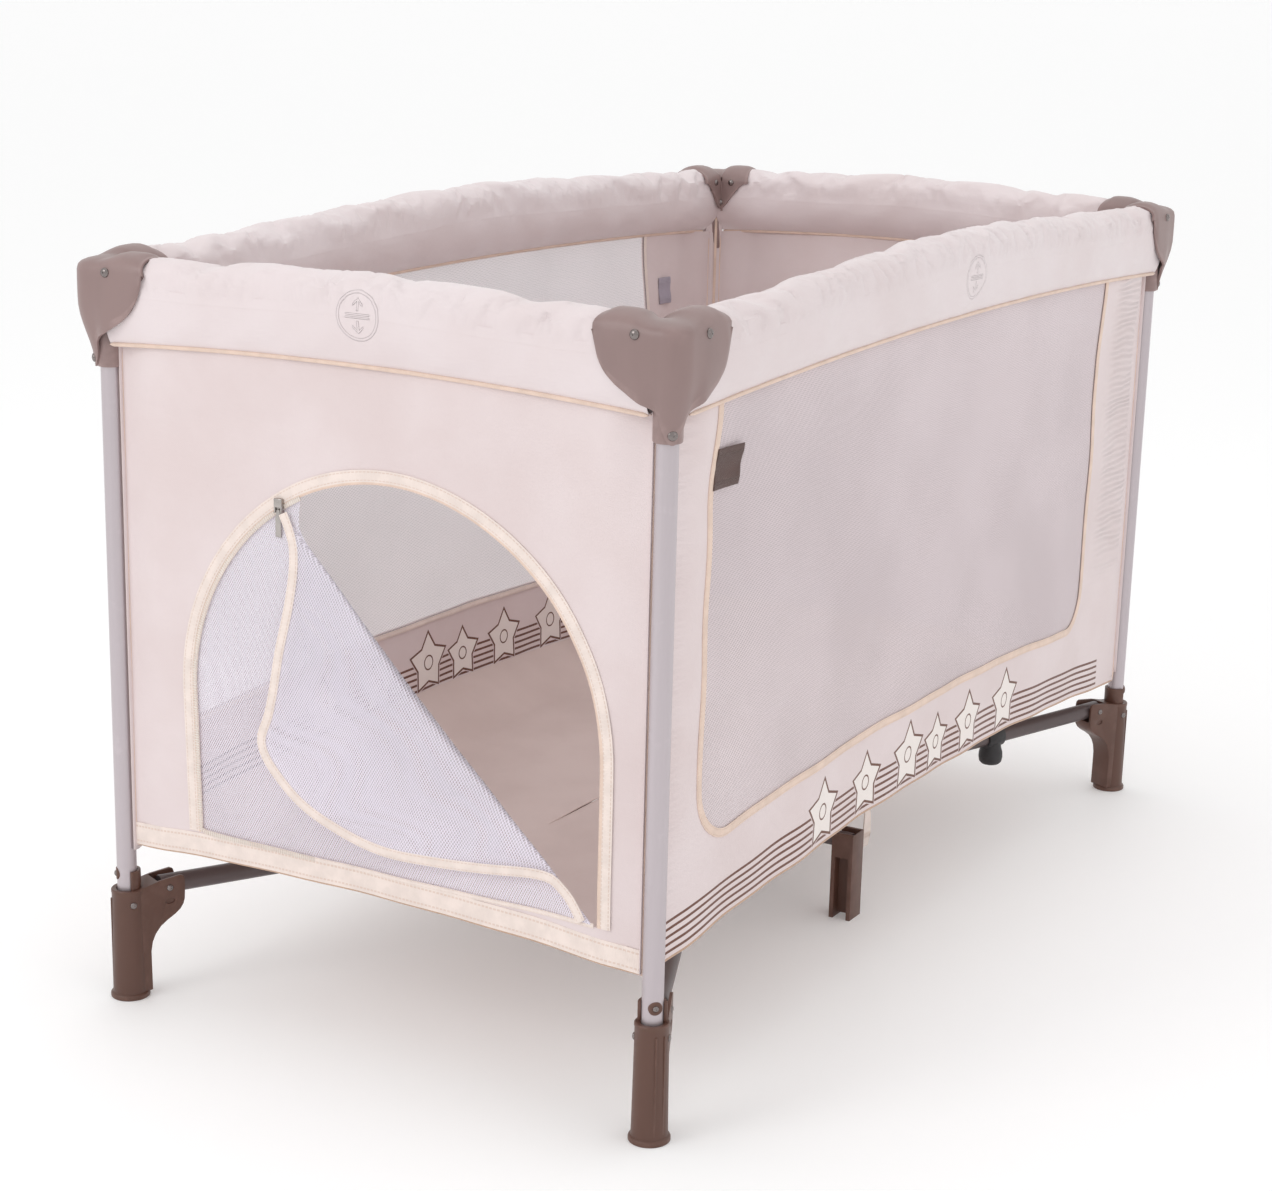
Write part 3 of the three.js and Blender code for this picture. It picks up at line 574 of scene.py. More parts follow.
def smooth_line(points, steps):
    """Evenly spaced places on a smooth curve through the given points."""
    points = [Vector(p) for p in points]
    dense = []
    for i in range(len(points) - 1):
        before = points[max(i - 1, 0)]
        a, b = points[i], points[i + 1]
        after = points[min(i + 2, len(points) - 1)]
        for k in range(12):
            t = k / 12
            dense.append(0.5 * (2 * a + (b - before) * t
                                + (2 * before - 5 * a + 4 * b - after) * t ** 2
                                + (3 * a - before - 3 * b + after) * t ** 3))
    dense.append(points[-1])
    lengths = [0.0]
    for a, b in zip(dense, dense[1:]):
        lengths.append(lengths[-1] + (b - a).length)
    result, j = [], 0
    for i in range(steps + 1):
        wanted = lengths[-1] * i / steps
        while j < len(dense) - 2 and lengths[j + 1] < wanted:
            j += 1
        span = lengths[j + 1] - lengths[j]
        result.append(dense[j].lerp(dense[j + 1], (wanted - lengths[j]) / max(span, 1e-9)))
    return result


def path_length(points):
    return sum((b - a).length for a, b in zip(points, points[1:]))


def ribbon(points, width, thickness, facing, crown=0.0):
    """A flat tape along a line, its face towards facing(place), crowned across."""
    total = path_length(points)
    count = len(points) - 1

    def place(u, v):
        i = min(count, round(u * count))
        at = points[i]
        heading = (points[min(i + 1, count)] - points[max(i - 1, 0)]).normalized()
        out = facing(at)
        side = heading.cross(out).normalized()
        offset = (v - 0.5) * width
        return at + side * offset + out * crown * (1 - (2 * v - 1) ** 2)

    obj = cloth_grid(count, 4, place, lambda u, v: (u * total, v))
    thicken(obj, thickness)
    return smooth(obj, 50)


def corded(points, radius, sides=8):
    """A round cord or piping along a line, with its ends closed."""
    total = path_length(points)
    count = len(points) - 1

    def place(u, v):
        i = min(count, round(u * count))
        heading = (points[min(i + 1, count)] - points[max(i - 1, 0)]).normalized()
        up = Vector((0, 0, 1)) if abs(heading.z) < 0.9 else Vector((1, 0, 0))
        side = heading.cross(up).normalized()
        rise = side.cross(heading).normalized()
        turn = 2 * math.pi * v
        tip = 0.35 if i in (0, count) else 1.0
        return points[i] + (side * math.cos(turn) + rise * math.sin(turn)) * radius * tip

    obj = cloth_grid(count, sides, place, lambda u, v: (u * total, v), closed=True)
    edit(obj)
    bpy.ops.mesh.select_all(action="DESELECT")
    bpy.ops.mesh.select_non_manifold()
    bpy.ops.mesh.fill_holes(sides=0)
    bpy.ops.mesh.select_all(action="SELECT")
    bpy.ops.mesh.normals_make_consistent(inside=False)
    bpy.ops.object.mode_set(mode="OBJECT")
    return smooth(obj, 60)


# ---- walls: every cloth piece on a side is laid out on the same drape ------------
def ease(t):
    t = max(0.0, min(1.0, t))
    return t * t * (3 - 2 * t)


class Side:
    """One side of the playpen. s runs along it, z is height, lift is outwards."""

    def __init__(self, name, half, out, kind, sign, body, seed):
        self.name, self.half, self.out, self.kind = name, half, out, kind
        self.sign, self.body, self.seed = sign, body, seed
        self.end = half - 0.0125
        self.long = kind == "long"

    def world(self, s, depth, z):
        if self.long:
            return Vector((s, self.sign * depth, z))
        return Vector((self.sign * depth, s, z))

    def outward(self):
        return self.world(0, 1, 0)

    def axis_z(self, s):
        pivot = self.half - RAIL_PIVOT_OUT
        pin = LATCH_PIN[self.kind]
        return RAIL_PIVOT_Z + max(0.0, min(pivot - abs(s), pivot - pin)) * SLOPE

    def seam_z(self, s):
        rise = 0.017 if self.long else 0.011
        return 0.6715 + rise * (1 - (s / self.half) ** 2)

    def hem_z(self, s):
        if self.long:
            return hem_z_long(s)
        return 0.1735 - 0.0135 * (s / 0.306) ** 2 + 0.004 * s / 0.306

    def depth(self, s, z):
        """How far out the wall hangs, with its soft folds."""
        low, high = self.hem_z(s), self.seam_z(s)
        up = (z - low) / (high - low)
        edge = ease((self.end - abs(s)) / 0.045)
        full = 0.0020 + 0.0085 * ease((up - 0.80) / 0.2) + 0.0022 * math.sin(math.pi * up)
        k = self.seed
        folds = (
            0.0011 * math.sin(19 * s + 5.5 * z + k) * math.sin(4.0 * z + k)
            + 0.0009 * math.sin(31 * s - 13 * z + 2 * k)
            + 0.0008 * math.sin(47 * (s * 0.5 + z) + 3 * k) * ease((abs(s) - 0.45 * self.half) / 0.2)
            + 0.0007 * math.sin(62 * s + 9 * math.sin(7 * z + k)) * (1 - up) ** 2
        )
        hung = self.out + full * edge - 0.0015 * (1 - edge) + folds * edge
        if self.name == "left":
            # The zip lies flat under its slider.
            near = math.exp(-((s - ZIP_Y) ** 2 + (z - ZIP_Z) ** 2) / 0.034 ** 2)
            hung += (self.out + 0.0001 - hung) * near
        return hung

    def wall(self, s, z, lift=0.0):
        return self.world(s, self.depth(s, z) + lift, z)

    def snug(self, s):
        """1 where the sleeve fills its corner cover, 0 along its free length."""
        return ease((abs(s) - (self.half - 0.115)) / 0.055)

    def radius(self, s):
        free = 0.0194 + 0.0038 * max(0.0, 1 - (s / self.half) ** 2) ** 0.7
        return free + (0.0213 - free) * self.snug(s)

    def sleeve(self, s, t):
        """The padded sleeve's round part: t from 0 outside over the top to 1 inside."""
        k = self.seed
        r = self.radius(s)
        turn = math.pi * t
        a = self.axis_z(s)
        near_end = ease((abs(s) - (self.half - 0.20)) / 0.12)
        snug = self.snug(s)
        soft = (
            0.00085 * math.sin(23 * s + 2.2 * turn + k)
            + 0.00055 * math.sin(51 * s - 3.1 * turn + 2 * k)
            + 0.0009 * near_end * math.sin(95 * s + 2.5 * turn + k)
        )
        dip = 0.0012 * math.exp(-(s / 0.016) ** 2) * math.sin(turn)
        r = r + soft * (1 - snug) - dip
        drop = 0.008 * (1 - ease(t / 0.12)) + 0.008 * ease((t - 0.88) / 0.12)
        return self.world(s, self.out + 0.0016 * snug + r * math.cos(turn),
                          a + 0.0020 * snug - drop + r * math.sin(turn))

    def skirt(self, s, t, inner):
        """From the round part, t = 0, down to the piped seam, t = 1."""
        k = self.seed + (1.7 if inner else 0)
        top = self.sleeve(s, 1.0 if inner else 0.0)
        top_depth = (top.y if self.long else top.x) * self.sign - self.out
        seam_depth = 0.0095 if inner else 0.0125
        end_z = self.seam_z(s)
        belly = top_depth + (0.0008 if not inner else -0.0004)
        p0, p3 = (top_depth, top.z), (seam_depth, end_z)
        p1 = (belly, top.z - (0.018 if inner else 0.020))
        p2 = (seam_depth + (0.0075 if not inner else -0.0250), end_z + (0.012 if inner else 0.010))
        w = ((1 - t) ** 3, 3 * t * (1 - t) ** 2, 3 * t * t * (1 - t), t ** 3)
        depth = sum(a * p[0] for a, p in zip(w, (p0, p1, p2, p3)))
        z = sum(a * p[1] for a, p in zip(w, (p0, p1, p2, p3)))
        ripple = t * (1 - t) * 4 * (
            0.0009 * math.sin(37 * s + 3 * t + k) + 0.0007 * math.sin(83 * s - 5 * t + 2 * k))
        return self.world(s, self.out + depth + ripple, z)


SIDES = {
    "front": Side("front", POST_X, POST_Y, "long", -1, "corner_front_left", 0.4),
    "rear": Side("rear", POST_X, POST_Y, "long", 1, "corner_rear_left", 2.1),
    "left": Side("left", POST_Y, POST_X, "short", -1, "corner_front_left", 3.3),
    "right": Side("right", POST_Y, POST_X, "short", 1, "corner_front_right", 5.2),
}


def gathers(obj, side):
    """Cloth on a side rides its first corner, with a mesh of its own."""
    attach(obj, side.body)
    if side.long:
        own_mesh(obj)
    else:
        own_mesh(obj)
    return obj


def resampled(points, steps):
    total = path_length(points)
    result, j, done = [], 0, 0.0
    for i in range(steps + 1):
        wanted = total * i / steps
        while j < len(points) - 2 and done + (points[j + 1] - points[j]).length < wanted:
            done += (points[j + 1] - points[j]).length
            j += 1
        span = (points[j + 1] - points[j]).length
        result.append(points[j].lerp(points[j + 1], min(1.0, (wanted - done) / max(span, 1e-9))))
    return result


def arc(centre, radius, start, end, steps=10):
    return [Vector((centre[0] + radius * math.cos(math.radians(a)),
                    centre[1] + radius * math.sin(math.radians(a)), 0))
            for a in (start + (end - start) * i / steps for i in range(steps + 1))]


WINDOW_LEFT, WINDOW_RIGHT = -0.529, 0.432


def window_sill(x):
    return hem_z_long(x) + 0.0885


def window_paths(side):
    """The window's U-shaped edge and the cloth's outer edge, in three matched runs."""
    r1, r2 = 0.052, 0.040
    left_z = window_sill(WINDOW_LEFT + r1) + r1
    right_z = window_sill(WINDOW_RIGHT - r2) + r2
    corner_left = arc((WINDOW_LEFT + r1, left_z), r1, 180, 270)
    corner_right = arc((WINDOW_RIGHT - r2, right_z), r2, 270, 360)
    top = Vector((WINDOW_LEFT, side.seam_z(WINDOW_LEFT), 0))
    sill = [Vector((x, window_sill(x), 0)) for x in
            (WINDOW_LEFT + r1 + (WINDOW_RIGHT - r2 - WINDOW_LEFT - r1) * i / 24
             for i in range(25))]
    inner = [
        resampled([top, *corner_left[:6]], 44),
        resampled([*corner_left[5:], *sill, *corner_right[:6]], 120),
        resampled([*corner_right[5:], Vector((WINDOW_RIGHT, side.seam_z(WINDOW_RIGHT), 0))], 44),
    ]
    e = side.end
    outer = [
        resampled([Vector((-e, side.seam_z(-e), 0)), Vector((-e, side.hem_z(-e), 0))], 44),
        resampled([Vector((-e + 2 * e * i / 40, side.hem_z(-e + 2 * e * i / 40), 0))
                   for i in range(41)], 120),
        resampled([Vector((e, side.hem_z(e), 0)), Vector((e, side.seam_z(e), 0))], 44),
    ]
    flat = [[], []]
    for target, runs in zip(flat, (inner, outer)):
        for run in runs:
            target += run if not target else run[1:]
    return flat


def framed_sheet(side, inner, outer, rows=14):
    """Cloth between two matched edges drawn on a side."""
    count = len(inner) - 1

    def place(u, v):
        i = round(u * count)
        at = inner[i].lerp(outer[i], v)
        return side.wall(at.x, at.y)

    return cloth_grid(count, rows, place)


def tape_on(side, path, width, lift, name, material, crown=0.0004, thickness=0.0008):
    points = [side.wall(p.x, p.y, lift) for p in path]
    obj = ribbon(points, width, thickness, lambda at: side.outward(), crown)
    named(obj, name, material)
    return gathers(obj, side)


def seam_line(side, inner, steps=140):
    e = side.half - 0.012
    points = []
    for i in range(steps + 1):
        s = -e + 2 * e * i / steps
        points.append(side.skirt(s, 1.0, inner) + side.outward() * (-0.0012 if inner else 0.0012))
    return points


def make_seams_and_skirts(side):
    steps = 220 if side.long else 120
    e = side.half - 0.012
    pieces = []
    for inner in (False, True):
        label = "inner" if inner else "outer"

        def place(u, v, inner=inner):
            s = -e + 2 * e * u
            if v == 0:
                # The top edge is tucked just under the round part.
                upper = side.sleeve(s, 0.97 if inner else 0.03)
                return upper + side.outward() * (0.0006 if inner else -0.0006)
            return side.skirt(s, (v * 13 - 1) / 12, inner)

        skirt = cloth_grid(steps, 13, place)
        faced_out(skirt, lambda at: side.outward() * (-1 if inner else 1))
        thicken(skirt, 0.0009, -1)
        smooth(skirt, 40)
        named(skirt, f"sleeve_skirt_{side.name}_{label}", ivory_satin)
        gathers(skirt, side)
        piping = corded(seam_line(side, inner), 0.0021)
        named(piping, f"piping_{side.name}_{label}", peach_tape)
        gathers(piping, side)
        width = e * 2
        pieces.append(skirt)
    return pieces


def plump(sleeve, side):
    """Fills the padded sleeve for a moment, so that its cloth settles in soft creases."""
    mesh = sleeve.data
    rest = [v.co.copy() for v in mesh.vertices]
    ends = [max(v.co[0 if side.long else 1] * k for v in mesh.vertices) for k in (1, -1)]
    held = []
    for v in mesh.vertices:
        s = v.co[0 if side.long else 1]
        low = v.co.z < side.axis_z(s) - 0.004
        if low or s > ends[0] - 0.003 or s < -ends[1] + 0.003:
            held.append(v.index)
    sleeve.vertex_groups.new(name="held").add(held, 1.0, "REPLACE")
    take(sleeve)
    cloth = sleeve.modifiers.new("cloth", "CLOTH")
    filled = cloth.settings
    filled.vertex_group_mass = "held"
    filled.quality, filled.mass = 8, 0.2
    filled.tension_stiffness = filled.compression_stiffness = 12
    filled.shear_stiffness, filled.bending_stiffness = 6, 0.15
    filled.use_pressure, filled.uniform_pressure_force = True, 4
    filled.shrink_min = filled.shrink_max = -0.035
    filled.effector_weights.gravity = 0
    cloth.collision_settings.use_collision = False
    cloth.point_cache.frame_start, cloth.point_cache.frame_end = 1, 20
    for frame_number in range(1, 21):
        bpy.context.scene.frame_set(frame_number)
    bpy.ops.object.modifier_apply(modifier=cloth.name)
    bpy.context.scene.frame_set(1)
    sleeve.vertex_groups.clear()
    for vertex, old in zip(mesh.vertices, rest):
        move = vertex.co - old
        if move.length > 0.0022:
            vertex.co = old + move.normalized() * 0.0022


HALVES = {"front": ("left", "right"), "right": ("front", "rear"),
          "rear": ("right", "left"), "left": ("rear", "front")}


def make_sleeves(side):
    """The padded round part, in two halves that bend over the centre latch."""
    e = side.half - 0.046
    first, second = HALVES[side.name]
    # The first half is at the low end of s on the front and right, and at the high end else.
    order = 1 if side.name in ("front", "right") else -1
    latch = f"latch_{side.name}"
    for half, label, sign in ((first, "first", -order), (second, "second", order)):
        steps = 150 if side.long else 70

        def place(u, v, sign=sign):
            s = sign * e * u
            row = v * 26
            if row < 0.5 or row > 25.5:
                inner = row > 25
                return side.skirt(s, 0.10, inner) - side.outward() * (0.0002 if inner else -0.0002)
            return side.sleeve(s, (row - 1) / 24)

        sleeve = cloth_grid(steps, 26, place)
        axis = side.world(0, side.out, 0)
        faced_out(sleeve, lambda at: Vector((0 if side.long else at.x - axis.x,
                                          at.y - axis.y if side.long else 0, at.z - 0.745)))
        plump(sleeve, side)
        thicken(sleeve, 0.0012, -1)
        smooth(sleeve, 40)
        name = f"sleeve_{side.name}_{label}"
        rail = f"rail_{side.name}_{half}"
        named(sleeve, name, ivory_satin)
        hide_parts(f"sleeve_{side.name}_{half}")
        z = side.axis_z(0)
        far = side.world(sign * 0.062, side.out, z)
        near = side.world(sign * 0.006, side.out, z)
        if label == "first":
            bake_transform(sleeve, rail, latch, far, near)
        else:
            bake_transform(sleeve, latch, rail, near, far)


def make_long_wall(side):
    inner, outer = window_paths(side)
    cloth = framed_sheet(side, inner, outer)
    thicken(cloth, 0.0008)
    smooth(cloth, 40)
    named(cloth, f"wall_{side.name}_cloth", printed_cloth, replaces=[f"wall_{side.name}"])
    gathers(cloth, side)

    def net_place(u, v):
        x = WINDOW_LEFT + (WINDOW_RIGHT - WINDOW_LEFT) * (0.5 - 0.5 * math.cos(math.pi * u))
        corner_z = net_edge(x)
        z = corner_z + (side.seam_z(x) - corner_z) * v
        return side.wall(x, z, -0.0006)

    r1, r2 = 0.052, 0.040

    def net_edge(x):
        low = window_sill(x)
        if x < WINDOW_LEFT + r1:
            z = window_sill(WINDOW_LEFT + r1) + r1
            return z - math.sqrt(max(0, r1 ** 2 - (WINDOW_LEFT + r1 - x) ** 2))
        if x > WINDOW_RIGHT - r2:
            z = window_sill(WINDOW_RIGHT - r2) + r2
            return z - math.sqrt(max(0, r2 ** 2 - (x - WINDOW_RIGHT + r2) ** 2))
        return low

    net = cloth_grid(150, 64, net_place)
    named(net, f"wall_{side.name}_net", net_cloth)
    gathers(net, side)
    tapes = [
        tape_on(side, inner, 0.0085, 0.0008, f"window_binding_{side.name}", peach_tape),
        tape_on(side, inner, 0.0060, -0.0018, f"window_binding_inner_{side.name}", ivory_tape,
                crown=-0.0004),
    ]
    hem = [Vector((p.x, p.y + 0.0008, 0)) for p in outer[44:165]]
    piping = corded([side.wall(p.x, p.y) for p in hem], 0.0013)
    named(piping, f"hem_piping_{side.name}", hem_tape)
    gathers(piping, side)
    for end, run in (("left", outer[:45]), ("right", outer[164:])):
        edge = corded([side.wall(p.x, p.y) for p in run], 0.0016)
        named(edge, f"edge_piping_{side.name}_{end}", peach_tape)
        gathers(edge, side)
    return cloth


def short_outline(side):
    e = side.end
    low = [Vector((-e + 2 * e * i / 30, side.hem_z(-e + 2 * e * i / 30), 0)) for i in range(31)]
    high = [Vector((e - 2 * e * i / 30, side.seam_z(e - 2 * e * i / 30), 0)) for i in range(31)]
    return low, high


DOOR_Y, DOOR_R, DOOR_Z, DOOR_SILL = -0.020, 0.231, 0.345, 0.196
ZIP_CLOSED, ZIP_TEETH = 58, 210  # rim places below the slider, and teeth along them


def make_door_wall(side):
    e = side.end
    left, right = DOOR_Y - DOOR_R, DOOR_Y + DOOR_R
    over = arc((DOOR_Y, DOOR_Z), DOOR_R, 180, 0, 48)
    inner = [
        resampled([Vector((left, DOOR_SILL, 0)), Vector((left, DOOR_Z, 0)), *over[:13]], 50),
        resampled(over[12:37], 60),
        resampled([*over[36:], Vector((right, DOOR_SILL, 0))], 50),
        resampled([Vector((right, DOOR_SILL, 0)), Vector((left, DOOR_SILL, 0))], 60),
    ]
    low, high = short_outline(side)
    outer = [
        resampled([low[0], Vector((-e, side.seam_z(-e), 0))], 50),
        resampled(high[::-1], 60),
        resampled([Vector((e, side.seam_z(e), 0)), low[-1]], 50),
        resampled(low[::-1], 60),
    ]
    loops = [[], []]
    for target, runs in zip(loops, (inner, outer)):
        for run in runs:
            target += run if not target else run[1:]
    cloth = framed_sheet(side, *loops, rows=16)
    tidy_normals(cloth)
    thicken(cloth, 0.0008)
    smooth(cloth, 40)
    named(cloth, "wall_left_cloth", ivory_cloth, replaces=["wall_left_with_door"])
    gathers(cloth, side)
    arch = resampled([Vector((left, DOOR_SILL, 0)), Vector((left, DOOR_Z, 0)), *over,
                      Vector((right, DOOR_SILL, 0))], 150)
    wide = [Vector((DOOR_Y + (p.x - DOOR_Y) * 1.025,
                    DOOR_Z + (p.y - DOOR_Z) * (1.025 if p.y > DOOR_Z else 1.0), 0)) for p in arch]
    tapes = [
        tape_on(side, wide, 0.0115, 0.0009, "door_binding", ivory_tape, 0.0006),
        tape_on(side, arch, 0.0046, 0.0004, "zip_tape_wall", peach_tape),
    ]
    hem_low = [Vector((p.x, p.y + 0.0008, 0)) for p in low]
    hem_piping = corded([side.wall(p.x, p.y) for p in hem_low], 0.0013)
    named(hem_piping, "hem_piping_left", hem_tape)
    gathers(hem_piping, side)
    facing = [Vector((p.x, p.y + 0.013, 0)) for p in low]
    tapes.append(tape_on(side, facing, 0.023, 0.0008, "hem_facing_left", ivory_tape, 0.0002))
    for end, run in (("front", outer[0]), ("rear", outer[2])):
        edge = corded([side.wall(p.x, p.y) for p in run], 0.0016)
        named(edge, f"edge_piping_left_{end}", peach_tape)
        gathers(edge, side)
    return arch


def make_plain_wall(side):
    e = side.end

    def place(u, v):
        s = -e + 2 * e * u
        low, high = side.hem_z(s), side.seam_z(s)
        return side.wall(s, low + (high - low) * v)

    cloth = cloth_grid(110, 90, place)
    thicken(cloth, 0.0008)
    smooth(cloth, 40)
    named(cloth, "wall_right_cloth", ivory_cloth, replaces=["wall_right"])
    gathers(cloth, side)
    low, _ = short_outline(side)
    piping = corded([side.wall(p.x, p.y + 0.0008) for p in low], 0.0013)
    named(piping, "hem_piping_right", hem_tape)
    gathers(piping, side)
    facing = tape_on(side, [Vector((p.x, p.y + 0.013, 0)) for p in low], 0.023, 0.0008,
                     "hem_facing_right", ivory_tape, 0.0002)
    for end, sign in (("front", -1), ("rear", 1)):
        run = [Vector((sign * e, side.hem_z(e) + (side.seam_z(e) - side.hem_z(e)) * i / 40, 0))
               for i in range(41)]
        edge = corded([side.wall(p.x, p.y) for p in run], 0.0016)
        named(edge, f"edge_piping_right_{end}", peach_tape)
        gathers(edge, side)


# ---- door flap: still zipped below its fold, turned over above it ----------------
FOLD_LINE = [(0.083, 0.516), (0.045, 0.480), (-0.025, 0.409), (-0.124, 0.311), (-0.200, 0.239),
             (-0.243, 0.198)]
FREE_EDGE = [(0.099, 0.533), (0.086, 0.500), (0.089, 0.446), (0.101, 0.392), (0.112, 0.339),
             (0.119, 0.308), (0.098, 0.278), (0.060, 0.249), (0.000, 0.231), (-0.085, 0.227),
             (-0.184, 0.236), (-0.213, 0.225), (-0.233, 0.199)]


def make_flap(side):
    left, right = DOOR_Y - DOOR_R, DOOR_Y + DOOR_R
    start = math.degrees(math.atan2(math.sqrt(DOOR_R ** 2 - (0.083 - DOOR_Y) ** 2), 0.083 - DOOR_Y))
    rim = [*arc((DOOR_Y, DOOR_Z), DOOR_R - 0.003, start, 0, 30),
           Vector((right - 0.003, DOOR_SILL + 0.001, 0)), Vector((left + 0.006, DOOR_SILL + 0.001, 0))]
    rim = resampled(rim, 90)
    fold = smooth_line([(y, z, 0) for y, z in FOLD_LINE], 90)
    free = smooth_line([(y, z, 0) for y, z in FREE_EDGE], 90)
    across = 40

    def place(u, v):
        i = round(u * 90)
        if v <= 0.5:
            at = rim[i].lerp(fold[i], v * 2)
            lift = -0.0010
            swell = math.sin(math.pi * v * 2) * 0.0025
            roll = 0.0
            if v > 0.45:
                roll = ease((v - 0.45) / 0.05) * 0.001
            return side.wall(at.x, at.y, lift + swell + roll)
        w = (v - 0.5) * 2
        at = fold[i].lerp(free[i], w)
        # The turned part stands off most in its middle and ripples towards its free edge.
        stand = 0.0035 * math.sqrt(w) + 0.0105 * math.sin(math.pi * min(1, u * 1.02)) * w ** 0.7
        ripple = 0.0018 * w * math.sin(9 * u * math.pi + 2.5 * w)
        return side.wall(at.x, at.y, stand + ripple + 0.0004)

    net = cloth_grid(90, across, place)
    named(net, "door_flap_net", door_net, replaces=["door_flap"])
    gathers(net, side)
    edge = [place(i / 90, 1.0) for i in range(91)]
    binding = ribbon(edge, 0.0095, 0.0012, lambda at: side.outward(), 0.0010)
    named(binding, "door_flap_binding", ivory_tape)
    gathers(binding, side)
    # The tape that holds the flap's half of the zip.
    rim_world = [side.wall(p.x, p.y, 0.0006) for p in rim]
    zip_edge = ribbon(rim_world, 0.0044, 0.0009, lambda at: side.outward(), 0.0004)
    named(zip_edge, "zip_tape_flap", ivory_tape)
    gathers(zip_edge, side)
    coil = []
    points = resampled(rim[:ZIP_CLOSED], ZIP_TEETH)
    for i, p in enumerate(points):
        heading = points[min(i + 1, ZIP_TEETH)] - points[max(i - 1, 0)]
        coil.append((side.wall(p.x, p.y, 0.0017), heading))
    teeth = make_teeth(side, coil)
    named(teeth, "zip_coil_closed", zip_coil)
    gathers(teeth, side)
    return net


def make_teeth(side, coil):
    """Small bent links in a row, one mesh."""
    link = begin("cube_add", size=1)
    link.scale = (0.0008, 0.0046, 0.0014)
    fix_place(link)
    soften(link, 0.0003, 1)
    links = []
    for at, heading in coil:
        heading = side.world(heading.x, 0, heading.y).normalized()
        out = side.outward()
        across = heading.cross(out).normalized()
        turn = Matrix((out, across, heading)).transposed().to_4x4()
        links.append(copied(link, Matrix.Translation(at) @ turn))
    bpy.data.objects.remove(link)
    return joined(*links)


# ---- frame: posts, covers, feet ----------------------------------------------------
def make_post(name, x, y):
    post = turned_piece([
        (0.0084, 0.0935), (0.0096, 0.0935), (0.0100, 0.0950), (0.0100, 0.1290),
        (0.0100, 0.6400), (0.0100, 0.7110), (0.0096, 0.7130), (0.0086, 0.7130)], 48)
    smooth(post, 40)
    post.data.transform(Matrix.Translation((x, y, 0)))
    named(post, f"post_tube_{name}", silver_tube, f"corner_{name}", [f"post_{name}"])


def cover_point(i, columns, row, rows):
    """The cover's skin for the front left corner, in its own frame: the rails run to
    +X and +Y. Columns go from the tip of one lobe round the corner to the other."""
    tip, wrap = 0.0625, 0.27
    share = 2 * i / columns - 1
    side = 1 if share > 0 else -1
    amount = abs(share)
    outer, inner = 0.0268, 0.0235
    centre = -0.0055
    radius = outer + centre
    if amount < wrap:
        angle = math.radians(45) * amount / wrap
        away = 0.0
    else:
        angle = math.radians(45)
        away = (amount - wrap) / (1 - wrap)
    s = centre + away * (tip - centre)
    # Plan place on the outside, for the lobe along +X; the other lobe is its mirror.
    direction = Vector((-math.sin(math.radians(45) - angle), -math.cos(math.radians(45) - angle)))
    if amount < wrap:
        out = Vector((centre, centre)) + direction * radius
    else:
        out = Vector((s, -outer))
    close = direction * 0.0146
    into = Vector((max(inner, s), inner))
    # Heights: crown, outer edge and inner edge.
    crest = 0.7540 + 0.0072 * ease((s + 0.002) / 0.038) - 0.0040 * ease((s - 0.046) / 0.0165)
    spring = 0.7425
    low = [(0.0625, 0.7450), (0.0600, 0.7300), (0.0560, 0.7180), (0.0480, 0.7060), (0.0380, 0.6970),
           (0.0220, 0.6870), (0.0090, 0.6790), (0.0000, 0.6720), (-0.0055, 0.6650)]
    edge = low[-1][1]
    for (s1, z1), (s0, z0) in zip(low, low[1:]):
        if s0 <= s <= s1:
            edge = z0 + (z1 - z0) * (s - s0) / (s1 - s0)
    if amount < wrap:
        edge = 0.6465 + (0.6650 - 0.6465) * (amount / wrap) ** 2.2
    inner_edge = 0.7000 + 0.040 * ease((s - 0.016) / 0.044)
    down, over, inside = 11, 12, rows - 23
    if row <= down:
        t = row / down
        z = edge + (spring - edge) * t
        hug = ease((z - 0.650) / 0.062)
        hug = hug + (1 - hug) * ease((s - 0.004) / 0.012)
        at = close.lerp(out, hug) if amount < wrap or s < 0.016 else out
        belly = 0.0016 * math.sin(math.pi * t) * ease((s + 0.0055) / 0.03)
        at = at + direction * belly if amount < wrap else Vector((at.x, at.y - belly))
        if s > 0.046:
            # The end of the lobe is rounded off.
            at = Vector((at.x, at.y + 0.0022 * ease((s - 0.050) / 0.0125)))
    elif row <= down + over:
        t = (row - down) / over
        turn = math.pi * t
        mid = (out + into) / 2
        at = mid + (out - mid) * math.cos(turn)
        z = spring + (crest - spring) * math.sin(turn) ** 0.75 * (1 - 0.22 * ease((t - 0.45) / 0.55))
        at = Vector((at.x - 0.0050 * math.sin(turn) ** 2 * ease((s - 0.050) / 0.0125), at.y))
    else:
        t = (row - down - over) / inside
        z = spring + (inner_edge - spring) * t
        at = into
    if side < 0:
        at = Vector((at.y, at.x))
    return Vector((at.x, at.y, z))


def make_cover():
    """A thin moulded shell: two crowned lobes over a tongue that hugs the post."""
    columns, rows = 84, 31
    shell = cloth_grid(columns, rows, lambda u, v: cover_point(round(u * columns), columns,
                                                              round(v * rows), rows))
    tidy_normals(shell)
    modifier(shell, "SMOOTH", factor=0.5, iterations=3)
    modifier(shell, "SOLIDIFY", thickness=0.0030, offset=-1)
    soften(shell, 0.0008, 2, 50)
    boss = turned_piece([(0.0104, 0.6500), (0.0124, 0.6490), (0.0132, 0.6500), (0.0133, 0.6520),
                         (0.0133, 0.7160), (0.0104, 0.7160)], 40)
    smooth(boss, 40)
    return joined(shell, boss)


